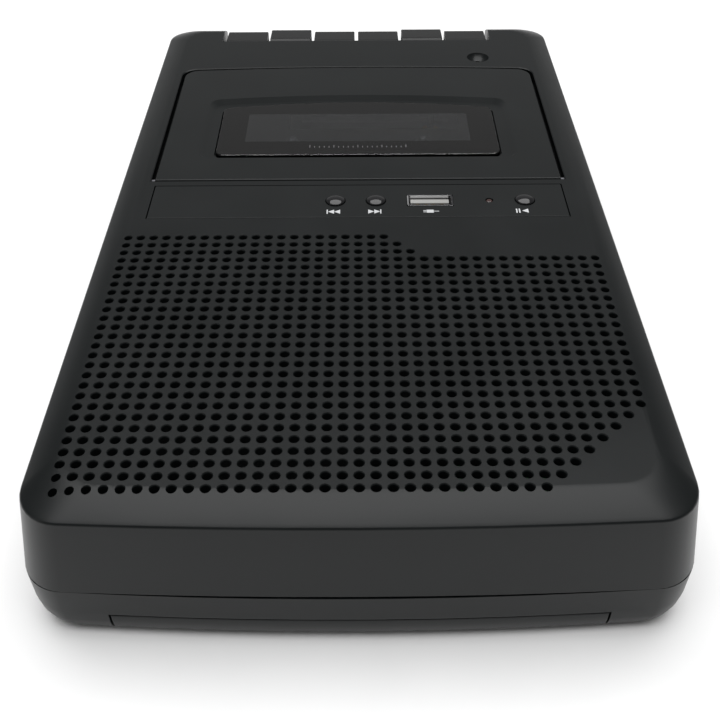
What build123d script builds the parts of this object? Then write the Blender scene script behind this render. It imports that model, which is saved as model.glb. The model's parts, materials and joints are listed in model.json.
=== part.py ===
from build123d import *
import math
import os

os.makedirs("parts", exist_ok=True)

# A portable cassette recorder that lies flat. +X is right, +Y is the key end, -Y is the handle end
# and +Z is up. The origin is on the table, under the middle of the case. Sizes are in millimetres.

# ---- case
case_width = 148.0
case_length = 247.0
case_top = 40.0
foot_height = 1.5
wall = 2.2
floor_thickness = 2.0
parting_z = 16.0
parting_gap = 0.6
near_corner_radius = 10.0
far_corner_radius = 8.0
near_bow = 2.2
crease_drop = 3.2
crease_inset = 3.0
near_crease_inset = 1.7
far_crease_inset = 1.0
shoulder_width = 8.0
far_shoulder_width = 8.0
shoulder_power = 1.5
shoulder_steps = 4
base_side_inset = 3.6
base_end_inset = 1.4
lip_height = 2.0
lip_thickness = 1.0
post_radius = 3.5
screw_radius = 1.3

# ---- clearances
seat_gap = 0.15
slide_gap = 0.3
seam_gap = 0.6
side_seam_gap = 1.1
running_gap = 0.05
curved_gap = 0.3

# ---- speaker field
hole_pitch = 3.5
hole_radius = 1.05
field_near_margin = 10.0
field_side_margin = 11.0
field_rim = 1.5
field_to_strip = 9.5
far_notch_columns = 16
far_notch_rows = 3
near_notch_rows = 7

# ---- keys
key_count = 6
key_pitch = 16.4
key_gap = 1.3
key_row_x = -0.45
key_depth = 14.2
key_front_height = 11.4
key_skin = 2.0
key_rise = 0.7
key_back_setback = 17.2
key_arm_width = 8.0
key_arm_thickness = 3.6
key_shaft_radius = 1.5
key_shaft_setback = 31.5
key_boss_radius = 3.2
key_travel_deg = 11.0

# ---- compact cassette and its deck
cassette_width = 100.4
cassette_depth = 63.8
cassette_thickness = 8.7
hub_spacing = 42.5
hub_to_tape_edge = 34.6
hub_setback = 82.2
cassette_lift = 0.5
rib_depth = 1.4
rail_thickness = 1.2
chassis_thickness = 1.2
well_thickness = 1.2
spindle_rise = 8.2
reel_table_thickness = 3.0
capstan_x = 25.5
capstan_from_hub = 26.6
capstan_radius = 1.2
head_travel = 4.0
roller_radius = 5.0
flywheel_radius = 20.0
motor_radius = 16.0
motor_pulley_radius = 4.0
reel_table_radius = 11.0
capstan_drive_radius = 5.0
belt_z = 9.2
belt_thickness = 1.2

# ---- cassette door
door_thickness = 2.2
door_side_margin = 10.1
door_near_margin = 4.4
door_far_margin = 5.9
door_far_bow = 1.9
door_corner_radius = 5.0
skirt_thickness = 1.6
skirt_depth = 3.8
recess_half_width = 49.3
recess_depth = 1.3
recess_slope = 1.6
lens_half_width = 44.2
lens_thickness = 2.3
lens_gap = 0.5
lens_ledge = 2.0
lens_bow = 3.4
window_half_width = 35.7
hinge_pin_radius = 0.8
hinge_from_edge = 1.3
hinge_below_top = 1.45
door_swing_deg = 55.0

# ---- control strip
strip_half_width = 59.5
strip_depth = 17.1
strip_to_door = 2.7
strip_thickness = 1.3
button_radius = 2.8
button_dome = 1.1
button_travel = 0.8
skip_forward_x = -6.5
skip_back_x = 5.1
play_pause_x = 47.9
usb_x = 20.65
usb_width = 13.1
usb_depth = 5.7
usb_sheet = 0.4
led_x = 37.7
led_radius = 1.0
board_thickness = 1.6
control_board_depth = 14.4

# ---- speaker
speaker_x = -20.0
speaker_radius = 38.5
speaker_magnet_radius = 20.0
speaker_magnet_height = 9.5
speaker_height = 27.0

# ---- handle
handle_corner_margin = 19.0
handle_depth = 9.5
handle_top_z = 7.7
handle_arm_width = 7.0
handle_arm_thickness = 3.0
handle_arm_length = 76.0
handle_travel = 36.0

# ---- batteries: four cells in two rows of two
cell_length = 50.5
cell_diameter = 14.5
bay_room = 1.5
bay_wall = 1.5
battery_door_swing_deg = 90.0

# ---- jacks, volume wheel and microphone
jack_radius = 1.8
dc_jack_radius = 2.8
jack_pitch = 12.0
jack_nose_wall = 1.5
jack_row_y = -30.0
jack_z = 23.0
jack_length = 12.0
volume_radius = 10.0
volume_thickness = 4.0
volume_y = -38.0
volume_z = 24.0
volume_slot_half = 8.2
mic_x = 43.3
mic_setback = 32.3
mic_radius = 3.0

# ---- places worked out from the sizes
near_y = -case_length / 2
far_y = case_length / 2
inner_top = case_top - wall
floor_top = foot_height + floor_thickness
upper_edge = parting_z + parting_gap / 2
lower_edge = parting_z - parting_gap / 2
crease_z = case_top - crease_drop
flat_half = case_width / 2 - crease_inset - shoulder_width

# The cassette hangs in rails under the door, and the deck lies under the cassette.
rail_low = inner_top - rib_depth - cassette_thickness - cassette_lift - rail_thickness
well_floor_top = rail_low - 1.6
chassis_top = well_floor_top - well_thickness - 1.2
spindle_top = rail_low + spindle_rise
reel_table_top = chassis_top - chassis_thickness - 1.6
reel_table_low = reel_table_top - reel_table_thickness
key_shaft_z = chassis_top + 4.0
key_shelf_z = chassis_top - 1.5
control_board_z = inner_top - control_board_depth
key_width = key_pitch - key_gap

hub_y = far_y - hub_setback
tape_edge_y = hub_y + hub_to_tape_edge
cassette_near_y = tape_edge_y - cassette_depth
door_half = cassette_width / 2 + door_side_margin
door_near_y = cassette_near_y - door_near_margin
door_far_y = tape_edge_y + door_far_margin
opening_half = door_half + side_seam_gap
opening_near_y = door_near_y - seam_gap
opening_far_y = door_far_y + seam_gap
hinge_y = door_near_y + hinge_from_edge
hinge_z = case_top - hinge_below_top

strip_far_y = opening_near_y - strip_to_door - slide_gap
strip_near_y = strip_far_y - strip_depth
button_y = (strip_far_y + strip_near_y) / 2
field_far_y = strip_near_y - field_to_strip
field_rows = int((field_far_y - near_y - field_near_margin + 0.05) / hole_pitch) + 1
half_columns = int((case_width / 2 - field_side_margin + 0.05) / hole_pitch)
field_columns = 2 * half_columns + 1
field_near_y = field_far_y - (field_rows - 1) * hole_pitch
field_half = half_columns * hole_pitch
speaker_y = (field_far_y + field_near_y) / 2 - 4.0

key_back_y = far_y - key_back_setback
key_rear_y = key_back_y + seam_gap
key_shaft_y = far_y - key_shaft_setback
keys_half = (key_count - 1) / 2 * key_pitch + key_width / 2
capstan_y = hub_y + capstan_from_hub
roller_y = capstan_y + capstan_radius + curved_gap + roller_radius + head_travel
head_front_y = tape_edge_y + 1.1
motor_x = -30.0
motor_y = capstan_y + 14.1

bay_half = cell_length + bay_room
bay_far_y = strip_far_y - 3.1
bay_near_y = bay_far_y - 2 * cell_diameter - bay_room
bay_top = floor_top + cell_diameter + 0.5
battery_door_thickness = floor_thickness - 0.2
battery_hinge_y = bay_far_y - slide_gap - 0.1 - battery_door_thickness / 2
battery_hinge_z = foot_height + battery_door_thickness / 2
handle_half = case_width / 2 - handle_corner_margin
arm_centre_x = handle_half - handle_arm_width / 2
arm_z = floor_top + slide_gap + 0.1
handle_back_y = near_y + handle_depth + near_bow
mic_y = far_y - mic_setback
post_x = case_width / 2 - 12.0
far_post_y = far_y - 25.5
near_post_y = (strip_near_y + field_far_y) / 2 + 0.75


# ---- helpers
def span(middle, half):
    """The two limits that lie this far each side of a middle."""
    return (middle - half, middle + half)


def on_side(side, inner, outer):
    """The two limits of a piece on the left (-1) or the right (1), lowest first."""
    return tuple(sorted((side * inner, side * outer)))


def block(x, y, z, mode=Mode.ADD):
    """A box between the two limits given for each axis."""
    with Locations(((x[0] + x[1]) / 2, (y[0] + y[1]) / 2, (z[0] + z[1]) / 2)):
        Box(x[1] - x[0], y[1] - y[0], z[1] - z[0], mode=mode)


def post(places, z, radius, mode=Mode.ADD):
    """Upright cylinders at the places, between two heights."""
    with Locations(*[(x, y, (z[0] + z[1]) / 2) for x, y in places]):
        Cylinder(radius, z[1] - z[0], mode=mode)


def cross_rod(x, y, z, radius, mode=Mode.ADD):
    """A cylinder along X between two limits."""
    with Locations(((x[0] + x[1]) / 2, y, z)):
        Cylinder(radius, x[1] - x[0], rotation=(0, 90, 0), mode=mode)


def case_plan(height, side, near, far):
    """The case's plan outline at a height, drawn in at its sides and ends."""
    half = case_width / 2 - side
    low = near_y + near
    high = far_y - far
    near_r = near_corner_radius - 0.4 * side
    far_r = far_corner_radius - 0.4 * side
    turn_y = low + near_bow + near_r
    with BuildSketch(Plane.XY.offset(height)) as plan:
        with BuildLine():
            Line((-half, turn_y), (-half, high - far_r))
            CenterArc((-half + far_r, high - far_r), far_r, 90, 90)
            Line((-half + far_r, high), (half - far_r, high))
            CenterArc((half - far_r, high - far_r), far_r, 0, 90)
            Line((half, high - far_r), (half, turn_y))
            CenterArc((half - near_r, turn_y), near_r, 270, 90)
            ThreePointArc((half - near_r, low + near_bow), (0, low), (-half + near_r, low + near_bow))
            CenterArc((-half + near_r, turn_y), near_r, 180, 90)
        make_face()
    return plan.sketch


def door_plan(height, inset):
    """The cassette door's outline: square near corners, rounded far corners, bowed far edge."""
    half = door_half - inset
    low = door_near_y + inset
    high = door_far_y - inset
    r = door_corner_radius
    with BuildSketch(Plane.XY.offset(height)) as plan:
        with BuildLine():
            Line((-half, low), (-half, high - r))
            CenterArc((-half + r, high - r), r, 90, 90)
            ThreePointArc((-half + r, high), (0, high + door_far_bow), (half - r, high))
            CenterArc((half - r, high - r), r, 0, 90)
            Line((half, high - r), (half, low))
            Line((half, low), (-half, low))
        make_face()
    return plan.sketch


def arched_plan(height, half, low, high, bow, radius):
    """A window-like outline with a bowed far edge."""
    with BuildSketch(Plane.XY.offset(height)) as plan:
        with BuildLine():
            Line((-half, low + radius), (-half, high - radius))
            CenterArc((-half + radius, high - radius), radius, 90, 90)
            ThreePointArc((-half + radius, high), (0, high + bow), (half - radius, high))
            CenterArc((half - radius, high - radius), radius, 0, 90)
            Line((half, high - radius), (half, low + radius))
            CenterArc((half - radius, low + radius), radius, 270, 90)
            Line((half - radius, low), (-half + radius, low))
            CenterArc((-half + radius, low + radius), radius, 180, 90)
        make_face()
    return plan.sketch


def shoulder_levels():
    """Sections from the crease up the soft shoulder to the flat top."""
    levels = []
    for step in range(shoulder_steps + 1):
        share = step / shoulder_steps
        height = case_top - crease_drop * (1 - share) ** shoulder_power
        across = shoulder_width * share
        far_inset = far_crease_inset + far_shoulder_width * share
        levels.append((height, crease_inset + across, near_crease_inset + across, far_inset))
    return levels


def field_places():
    """Centres of the speaker holes, row by row from the control strip to the handle end."""
    places = []
    for row in range(field_rows):
        count = field_columns
        if row < far_notch_rows:
            count = field_columns - far_notch_columns + row
        if row >= field_rows - near_notch_rows:
            count = field_columns - (row - (field_rows - near_notch_rows) + 1)
        for column in range(count):
            places.append((column * hole_pitch - field_half, field_far_y - row * hole_pitch))
    return places


def key_x(index):
    """The middle of a key, counted from the left."""
    return key_row_x + (index - (key_count - 1) / 2) * key_pitch


def cut_strip_holes():
    """Holes for the buttons, the status light and the USB shell, through the piece being made."""
    through = (inner_top - 8, case_top + 2)
    post([(x, button_y) for x in buttons.values()], through, button_radius + seat_gap, Mode.SUBTRACT)
    post([(led_x, button_y)], through, led_radius + seat_gap, Mode.SUBTRACT)
    block(
        span(usb_x, usb_width / 2 + seat_gap),
        span(button_y, usb_depth / 2 + seat_gap),
        through,
        Mode.SUBTRACT,
    )


def save(part, name):
    """Label a finished piece and write it under its own name."""
    part.label = name
    export_step(part, f"parts/{name}.step")


buttons = {
    "skip_back_button": skip_back_x,
    "skip_forward_button": skip_forward_x,
    "play_pause_button": play_pause_x,
}

# ---- upper case
grille_x = (-field_half - 1.05 - field_rim, field_half + 1.05 + field_rim)
grille_y = (field_near_y - hole_radius - field_rim, field_far_y + hole_radius + field_rim)
jack_places = [jack_row_y - index * jack_pitch for index in range(3)]
jack_bores = [jack_radius, jack_radius, dc_jack_radius]
lug_half = opening_half + 4.0
far_posts = [(-post_x, far_post_y), (post_x, far_post_y)]
near_posts = [(-post_x, near_post_y), (post_x, near_post_y)]
screw_places = far_posts + near_posts
key_notch_x = (key_row_x - keys_half - side_seam_gap, key_row_x + keys_half + side_seam_gap)
volume_x = -case_width / 2 + volume_radius + 0.1

with BuildPart() as upper_envelope:
    levels = [(upper_edge, 0, 0, 0)] + shoulder_levels()
    loft(sections=[case_plan(*level) for level in levels], ruled=True)

with BuildPart() as upper_room:
    loft(
        sections=[
            case_plan(upper_edge - 1, wall, wall, wall),
            case_plan(crease_z - 1, crease_inset + wall, near_crease_inset + wall, far_crease_inset + wall),
            case_plan(
                inner_top,
                crease_inset + shoulder_width,
                near_crease_inset + shoulder_width,
                far_crease_inset + far_shoulder_width + wall,
            ),
        ],
        ruled=True,
    )

with BuildPart() as top_case:
    add(upper_envelope.part)
    add(upper_room.part, mode=Mode.SUBTRACT)
    post(screw_places, (upper_edge, inner_top + 0.5), post_radius)
    block((-lug_half, -opening_half), (hinge_y - 3, hinge_y + 3), (hinge_z - 3, inner_top + 0.3))
    block((opening_half, lug_half), (hinge_y - 3, hinge_y + 3), (hinge_z - 3, inner_top + 0.3))
    shelf_x = (key_notch_x[0] - wall, key_notch_x[1] + wall)
    cheek_z = (key_shelf_z - 1, inner_top + 0.5)
    block(shelf_x, (key_back_y - 1.8, far_y - 1.5), (key_shelf_z - 2.0, key_shelf_z))
    block((shelf_x[0], key_notch_x[0]), (key_back_y, far_y - 2), cheek_z)
    block((key_notch_x[1], shelf_x[1]), (key_back_y, far_y - 2), cheek_z)
    with Locations((mic_x, mic_y, inner_top - 2.2)):
        Cylinder(mic_radius + 1.6, 5.4)
    add(upper_envelope.part, mode=Mode.INTERSECT)
    block(grille_x, grille_y, (20, case_top + 1), Mode.SUBTRACT)
    block(key_notch_x, (key_back_y, far_y + 1), (key_shelf_z, case_top + 1), Mode.SUBTRACT)
    block(
        (-strip_half_width - slide_gap, strip_half_width + slide_gap),
        (strip_near_y - slide_gap / 2, strip_far_y + slide_gap),
        (case_top - strip_thickness, case_top + 1),
        Mode.SUBTRACT,
    )
    cut_strip_holes()
    turn_x = opening_half - door_corner_radius
    turn_y = opening_far_y - door_corner_radius
    with BuildSketch(Plane.XY.offset(inner_top - 8)) as door_opening:
        with BuildLine():
            Line((-opening_half, opening_near_y), (-opening_half, turn_y))
            CenterArc((-turn_x, turn_y), door_corner_radius, 90, 90)
            bow_top = (0, opening_far_y + door_far_bow)
            ThreePointArc((-turn_x, opening_far_y), bow_top, (turn_x, opening_far_y))
            CenterArc((turn_x, turn_y), door_corner_radius, 0, 90)
            Line((opening_half, turn_y), (opening_half, opening_near_y))
            Line((opening_half, opening_near_y), (-opening_half, opening_near_y))
        make_face()
    extrude(amount=12, mode=Mode.SUBTRACT)
    post([(mic_x, mic_y)], (inner_top - 8, inner_top - 0.2), mic_radius + running_gap, Mode.SUBTRACT)
    post([(mic_x, mic_y)], (30, 42), mic_radius / 2, Mode.SUBTRACT)
    with Locations((mic_x, mic_y, case_top + 2.0)):
        Sphere(4.4, mode=Mode.SUBTRACT)
    cross_rod((-lug_half - 1, -opening_half + 1), hinge_y, hinge_z, hinge_pin_radius + 0.02, Mode.SUBTRACT)
    cross_rod((opening_half - 1, lug_half + 1), hinge_y, hinge_z, hinge_pin_radius + 0.02, Mode.SUBTRACT)
    post(screw_places, (upper_edge - 1, upper_edge + 12), screw_radius + running_gap, Mode.SUBTRACT)
    for place, bore in zip(jack_places, jack_bores):
        half = bore + jack_nose_wall + seat_gap
        wall_zone = (case_width / 2 - 12, case_width / 2 + 1)
        block(wall_zone, span(place, half), span(jack_z, half), Mode.SUBTRACT)
    block(
        (-case_width / 2 - 1, -60),
        span(volume_y, volume_slot_half),
        span(volume_z, volume_thickness / 2 + 0.5),
        Mode.SUBTRACT,
    )
save(top_case.part, "top_case")

# The speaker field is moulded with the upper case; it is kept as its own piece.
with BuildPart() as speaker_grille:
    block(grille_x, grille_y, (20, case_top + 1))
    add(upper_envelope.part, mode=Mode.INTERSECT)
    add(upper_room.part, mode=Mode.SUBTRACT)
    with BuildSketch(Plane.XY.offset(30)) as holes:
        with Locations(*field_places()):
            Circle(hole_radius)
    extrude(amount=12, mode=Mode.SUBTRACT)
save(speaker_grille.part, "speaker_grille")

# ---- lower case
# Levels going down: height, inset of the sides, inset of the ends.
bottom_levels = [
    (lower_edge, 0.0, 0.0),
    (foot_height + 7.0, 0.06 * base_side_inset, 0.05 * base_end_inset),
    (foot_height + 4.0, 0.22 * base_side_inset, 0.15 * base_end_inset),
    (foot_height + floor_thickness, 0.5 * base_side_inset, 0.35 * base_end_inset),
    (foot_height, base_side_inset, base_end_inset),
]

with BuildPart() as lower_envelope:
    loft(sections=[case_plan(z, side, end, end) for z, side, end in bottom_levels], ruled=True)

with BuildPart() as lower_room:
    inner_levels = [(lower_edge + 1, 0.0, 0.0)] + bottom_levels[1:-1]
    inner_plans = [case_plan(z, side + wall, end + wall, end + wall) for z, side, end in inner_levels]
    loft(sections=inner_plans, ruled=True)

pocket_half = handle_half + slide_gap
wall_lean = crease_inset / (crease_z - upper_edge)
lip_inset = wall + seat_gap + wall_lean * (lip_height + 1.0)
lip_inside = lip_inset + lip_thickness
arm_slot = (arm_centre_x - handle_arm_width / 2 - slide_gap, arm_centre_x + handle_arm_width / 2 + slide_gap)
arm_end_y = handle_back_y + handle_arm_length
chassis_half = cassette_width / 2 + 3.8
chassis_near_y = cassette_near_y - 5.6
chassis_far_y = key_shaft_y + 5.0
chassis_posts = [
    (x, y) for x in (-chassis_half + 6, chassis_half - 6) for y in (chassis_near_y + 4, chassis_far_y - 1.5)
]
main_board_x = (24.0, 54.0)
main_board_y = (speaker_y - 30, speaker_y + 32)
main_board_z = 10.0
main_board_posts = [
    (x, y)
    for x in (main_board_x[0] + 4, main_board_x[1] - 11)
    for y in (main_board_y[0] + 4, main_board_y[1] - 4)
]
side_board_z = 17.0
jack_board_y = (jack_places[2] - 6, jack_places[0] + 6)
jack_board_x = (case_width / 2 - 18, case_width / 2 - 4.4)
jack_board_posts = [(jack_board_x[0] + 5, jack_board_y[0] + 3), (jack_board_x[0] + 5, jack_board_y[1] - 3)]
volume_board_z = 14.0
volume_board_post = [(volume_x, volume_y)]
feet_x = case_width / 2 - 22.0
feet_places = [(x, y) for x in (-feet_x, feet_x) for y in (near_y + 25.5, far_y - 18.5)]

with BuildPart() as handle_pocket:
    block(
        (-pocket_half - 1.6, pocket_half + 1.6),
        (near_y - 1, handle_back_y + slide_gap + 1.6),
        (foot_height, handle_top_z + slide_gap + 1.6),
    )
    add(lower_envelope.part, mode=Mode.INTERSECT)

with BuildPart() as bottom_case:
    add(lower_envelope.part)
    add(lower_room.part, mode=Mode.SUBTRACT)
    extrude(case_plan(lower_edge - 2.7, wall - 0.2, wall - 0.2, wall - 0.2), amount=2.7)
    extrude(case_plan(lower_edge - 0.1, lip_inset, lip_inset, lip_inset), amount=lip_height + 0.1)
    lip_room = case_plan(lower_edge - 3, lip_inside, lip_inside, lip_inside)
    extrude(lip_room, amount=lip_height + 6, mode=Mode.SUBTRACT)
    post(screw_places, (floor_top - 0.5, lower_edge + parting_gap - 0.1), post_radius)
    post(chassis_posts, (floor_top - 0.5, chassis_top - chassis_thickness), 2.5)
    post(main_board_posts, (floor_top - 0.5, main_board_z), 2.5)
    post(jack_board_posts, (floor_top - 0.5, side_board_z), 2.5)
    post(volume_board_post, (floor_top - 0.5, volume_board_z), 2.5)
    post([(capstan_x, capstan_y)], (floor_top - 0.5, floor_top + 0.9), 4.0)
    block(
        (-bay_half - bay_wall, bay_half + bay_wall),
        (bay_near_y - bay_wall, bay_far_y + bay_wall),
        (floor_top - 1, bay_top + bay_wall),
    )
    block((-bay_half, bay_half), (bay_near_y, bay_far_y), (foot_height - 1, bay_top), Mode.SUBTRACT)
    for side in (-1, 1):
        for edge in (arm_slot[0] - 0.7, arm_slot[1] + 0.7):
            block(
                span(side * edge, 0.7),
                (handle_back_y, arm_end_y + 1),
                (floor_top - 0.5, arm_z + handle_arm_thickness + 1.2),
            )
    add(handle_pocket.part)
    block(
        (-pocket_half, pocket_half),
        (near_y - 1, handle_back_y + slide_gap),
        (foot_height - 1, handle_top_z + slide_gap),
        Mode.SUBTRACT,
    )
    for side in (-1, 1):
        centre = side * (arm_slot[0] + arm_slot[1]) / 2
        half_slot = (arm_slot[1] - arm_slot[0]) / 2
        block(
            (centre - half_slot, centre + half_slot),
            (handle_back_y - 1, handle_back_y + 4),
            (arm_z - slide_gap, arm_z + handle_arm_thickness + slide_gap),
            Mode.SUBTRACT,
        )
    post(screw_places, (foot_height - 1, lower_edge + 1), screw_radius + seat_gap, Mode.SUBTRACT)
    post(screw_places, (foot_height - 1, foot_height + 3.5), 2.6, Mode.SUBTRACT)
save(bottom_case.part, "bottom_case")

with BuildPart() as carry_handle:
    block((-handle_half, handle_half), (near_y - 1, handle_back_y), (foot_height + 0.1, handle_top_z))
    add(lower_envelope.part, mode=Mode.INTERSECT)
    for side in (-1, 1):
        block(
            span(side * arm_centre_x, handle_arm_width / 2),
            (handle_back_y - 2, arm_end_y),
            (arm_z, arm_z + handle_arm_thickness),
        )
save(carry_handle.part, "carry_handle")

with BuildPart() as battery_door:
    block(
        (-bay_half + slide_gap, bay_half - slide_gap),
        (bay_near_y + slide_gap, battery_hinge_y),
        (foot_height, foot_height + battery_door_thickness),
    )
    cross_rod((-bay_half + slide_gap, bay_half - slide_gap), battery_hinge_y, battery_hinge_z,
              battery_door_thickness / 2)
    for x in (-30.0, 30.0):
        block(span(x, 4), (battery_hinge_y - 2.6, battery_hinge_y), (floor_top - 1, floor_top + 1.6))
    block((-9, 9), (bay_near_y + 0.4, bay_near_y + 1.6), (floor_top - 1, floor_top + 4))
save(battery_door.part, "battery_door")

with BuildPart() as rubber_feet:
    with BuildSketch() as foot_plans:
        with Locations(*feet_places):
            Circle(6)
    extrude(amount=foot_height)
    chamfer(rubber_feet.faces().sort_by(Axis.Z)[:4].edges(), 0.6)
save(rubber_feet.part, "rubber_feet")

with BuildPart() as case_screws:
    post(screw_places, (foot_height + 3.5 - 2.2, foot_height + 3.5), 2.5)
    post(screw_places, (foot_height + 3.5 - 0.1, upper_edge + 10), screw_radius)
    with Locations(*[(x, y, foot_height + 1.3) for x, y in screw_places]):
        Box(3.2, 0.7, 1.2, mode=Mode.SUBTRACT)
        Box(0.7, 3.2, 1.2, mode=Mode.SUBTRACT)
save(case_screws.part, "case_screws")

# ---- cassette door
rail_x = cassette_width / 2 + 0.7
recess_near_y = cassette_near_y + 8.4
recess_far_y = hub_y + 18.2
lens_near_y = recess_near_y + 2.3
lens_far_y = lens_near_y + 31.7
lens_low = case_top - recess_depth - 1.4

with BuildPart() as cassette_door:
    extrude(door_plan(case_top - door_thickness, 0), amount=door_thickness)
    fillet(cassette_door.faces().sort_by(Axis.Z)[-1].edges(), 0.5)
    extrude(door_plan(inner_top - skirt_depth, 0), amount=skirt_depth)
    extrude(door_plan(inner_top - skirt_depth, skirt_thickness), amount=skirt_depth, mode=Mode.SUBTRACT)
    block((-recess_half_width + 2, recess_half_width - 2), (recess_near_y - 1, recess_far_y + 3),
          (inner_top - rib_depth, inner_top + 0.2))
    for side in (-1, 1):
        block(
            on_side(side, rail_x, rail_x + 1.8),
            (door_near_y + 2.8, tape_edge_y - 2),
            (rail_low, inner_top + 0.2),
        )
        block(
            on_side(side, rail_x - 3, rail_x + 1),
            (door_near_y + 2.8, tape_edge_y - 10),
            (rail_low, rail_low + rail_thickness),
        )
        block(
            on_side(side, door_half - 5, door_half),
            (door_near_y, door_near_y + 3.4),
            (hinge_z - 2.4, inner_top + 0.2),
        )
        cross_rod(
            on_side(side, door_half - 4, door_half + 1),
            hinge_y,
            hinge_z,
            hinge_pin_radius + running_gap,
            Mode.SUBTRACT,
        )
    block((-rail_x - 1, rail_x + 1), (door_near_y + 2.8, door_near_y + 4.0), (rail_low, inner_top + 0.2))
    loft(
        sections=[
            arched_plan(case_top + 0.01, recess_half_width, recess_near_y, recess_far_y, 2.6, 4.0),
            arched_plan(
                case_top - recess_depth,
                recess_half_width - recess_slope,
                recess_near_y + 0.4,
                recess_far_y - recess_slope,
                2.6,
                4.0,
            ),
        ],
        ruled=True,
        mode=Mode.SUBTRACT,
    )
    for height, inset, radius in ((lens_low, -lens_gap, 3.2), (lens_low - 5, lens_ledge, 2.5)):
        lens_seat = arched_plan(
            height, lens_half_width - inset, lens_near_y + inset, lens_far_y - inset, lens_bow, radius
        )
        extrude(lens_seat, amount=8, mode=Mode.SUBTRACT)
save(cassette_door.part, "cassette_door")

mask_thickness = 0.3
with BuildPart() as window_lens:
    extrude(
        arched_plan(lens_low + mask_thickness, lens_half_width, lens_near_y, lens_far_y, lens_bow, 3.0),
        amount=lens_thickness - mask_thickness,
    )
    fillet(window_lens.faces().sort_by(Axis.Z)[-1].edges(), 0.45)
save(window_lens.part, "window_lens")

window_near_y = hub_y - 8.6
window_far_y = hub_y + 9.6
with BuildPart() as window_mask:
    sheet = arched_plan(lens_low, lens_half_width, lens_near_y, lens_far_y, lens_bow, 3.0)
    extrude(sheet, amount=mask_thickness)
    block(span(0, window_half_width), (window_near_y, window_far_y), span(lens_low, 1), Mode.SUBTRACT)
save(window_mask.part, "window_mask")

with BuildPart() as door_hinge_pins:
    cross_rod((-lug_half, -door_half + 3.5), hinge_y, hinge_z, hinge_pin_radius)
    cross_rod((door_half - 3.5, lug_half), hinge_y, hinge_z, hinge_pin_radius)
save(door_hinge_pins.part, "door_hinge_pins")

# ---- control strip and its board
strip_top = case_top + 0.1
with BuildPart() as control_panel:
    block(span(0, strip_half_width), (strip_near_y, strip_far_y), (case_top - strip_thickness, strip_top))
    chamfer(control_panel.faces().sort_by(Axis.Z)[-1].edges(), 0.15)
    cut_strip_holes()
save(control_panel.part, "control_panel")

board_top = control_board_z + board_thickness
switch_top = board_top + 2.7
flange_top = inner_top - 0.5
for name, x in buttons.items():
    with BuildPart() as button:
        with BuildSketch(Plane.XZ.offset(-button_y)) as half_section:
            with BuildLine():
                Polyline(
                    (x, strip_top + button_dome),
                    (x, switch_top + button_travel + 0.15),
                    (x + 1.6, switch_top + button_travel + 0.15),
                    (x + 1.6, flange_top - 0.9),
                    (x + button_radius + 0.9, flange_top - 0.9),
                    (x + button_radius + 0.9, flange_top),
                    (x + button_radius, flange_top),
                    (x + button_radius, strip_top + 0.2),
                )
                RadiusArc(
                    (x + button_radius, strip_top + 0.2),
                    (x, strip_top + button_dome),
                    -(button_radius**2 + (button_dome - 0.2) ** 2) / (2 * (button_dome - 0.2)),
                )
            make_face()
        revolve(axis=Axis((x, button_y, 0), (0, 0, 1)))
    save(button.part, name)

with BuildPart() as usb_shell:
    block(
        span(usb_x, usb_width / 2),
        span(button_y, usb_depth / 2),
        (board_top, strip_top + 0.1),
    )
    fillet(usb_shell.edges().filter_by(Axis.Z), 0.5)
    block(
        span(usb_x, usb_width / 2 - usb_sheet),
        span(button_y, usb_depth / 2 - usb_sheet),
        (board_top + 1.5, strip_top + 1),
        Mode.SUBTRACT,
    )
save(usb_shell.part, "usb_shell")

with BuildPart() as usb_tongue:
    block(
        span(usb_x, usb_width / 2 - usb_sheet - 0.6),
        (button_y + 0.1, button_y + 2.0),
        (board_top + 1.5, strip_top - 0.9),
    )
save(usb_tongue.part, "usb_tongue")

with BuildPart() as status_light:
    post([(led_x, button_y)], (board_top, board_top + 5), led_radius + 0.5)
    post([(led_x, button_y)], (board_top + 2, strip_top - 0.1), led_radius)
    fillet(status_light.faces().sort_by(Axis.Z)[-1].edges(), 0.5)
save(status_light.part, "status_light")

board_x = (min(skip_back_x, skip_forward_x) - 8, play_pause_x + 8)
board_y = (button_y - 6.5, button_y + 6.5)
stud_places = [(board_x[0] + 2.5, board_y[0] + 2.5), (board_x[1] - 2.5, board_y[1] - 2.5),
               (board_x[0] + 2.5, board_y[1] - 2.5), (board_x[1] - 2.5, board_y[0] + 2.5)]
with BuildPart() as control_board:
    block(board_x, board_y, (control_board_z, board_top))
save(control_board.part, "control_board")

with BuildPart() as board_studs:
    post(stud_places, (board_top, inner_top), 1.8)
save(board_studs.part, "board_studs")

with BuildPart() as tact_switches:
    for x in buttons.values():
        block((x - 3, x + 3), (button_y - 3, button_y + 3), (board_top, board_top + 1.8))
    post([(x, button_y) for x in buttons.values()], (board_top, switch_top), 1.5)
save(tact_switches.part, "tact_switches")

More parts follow.
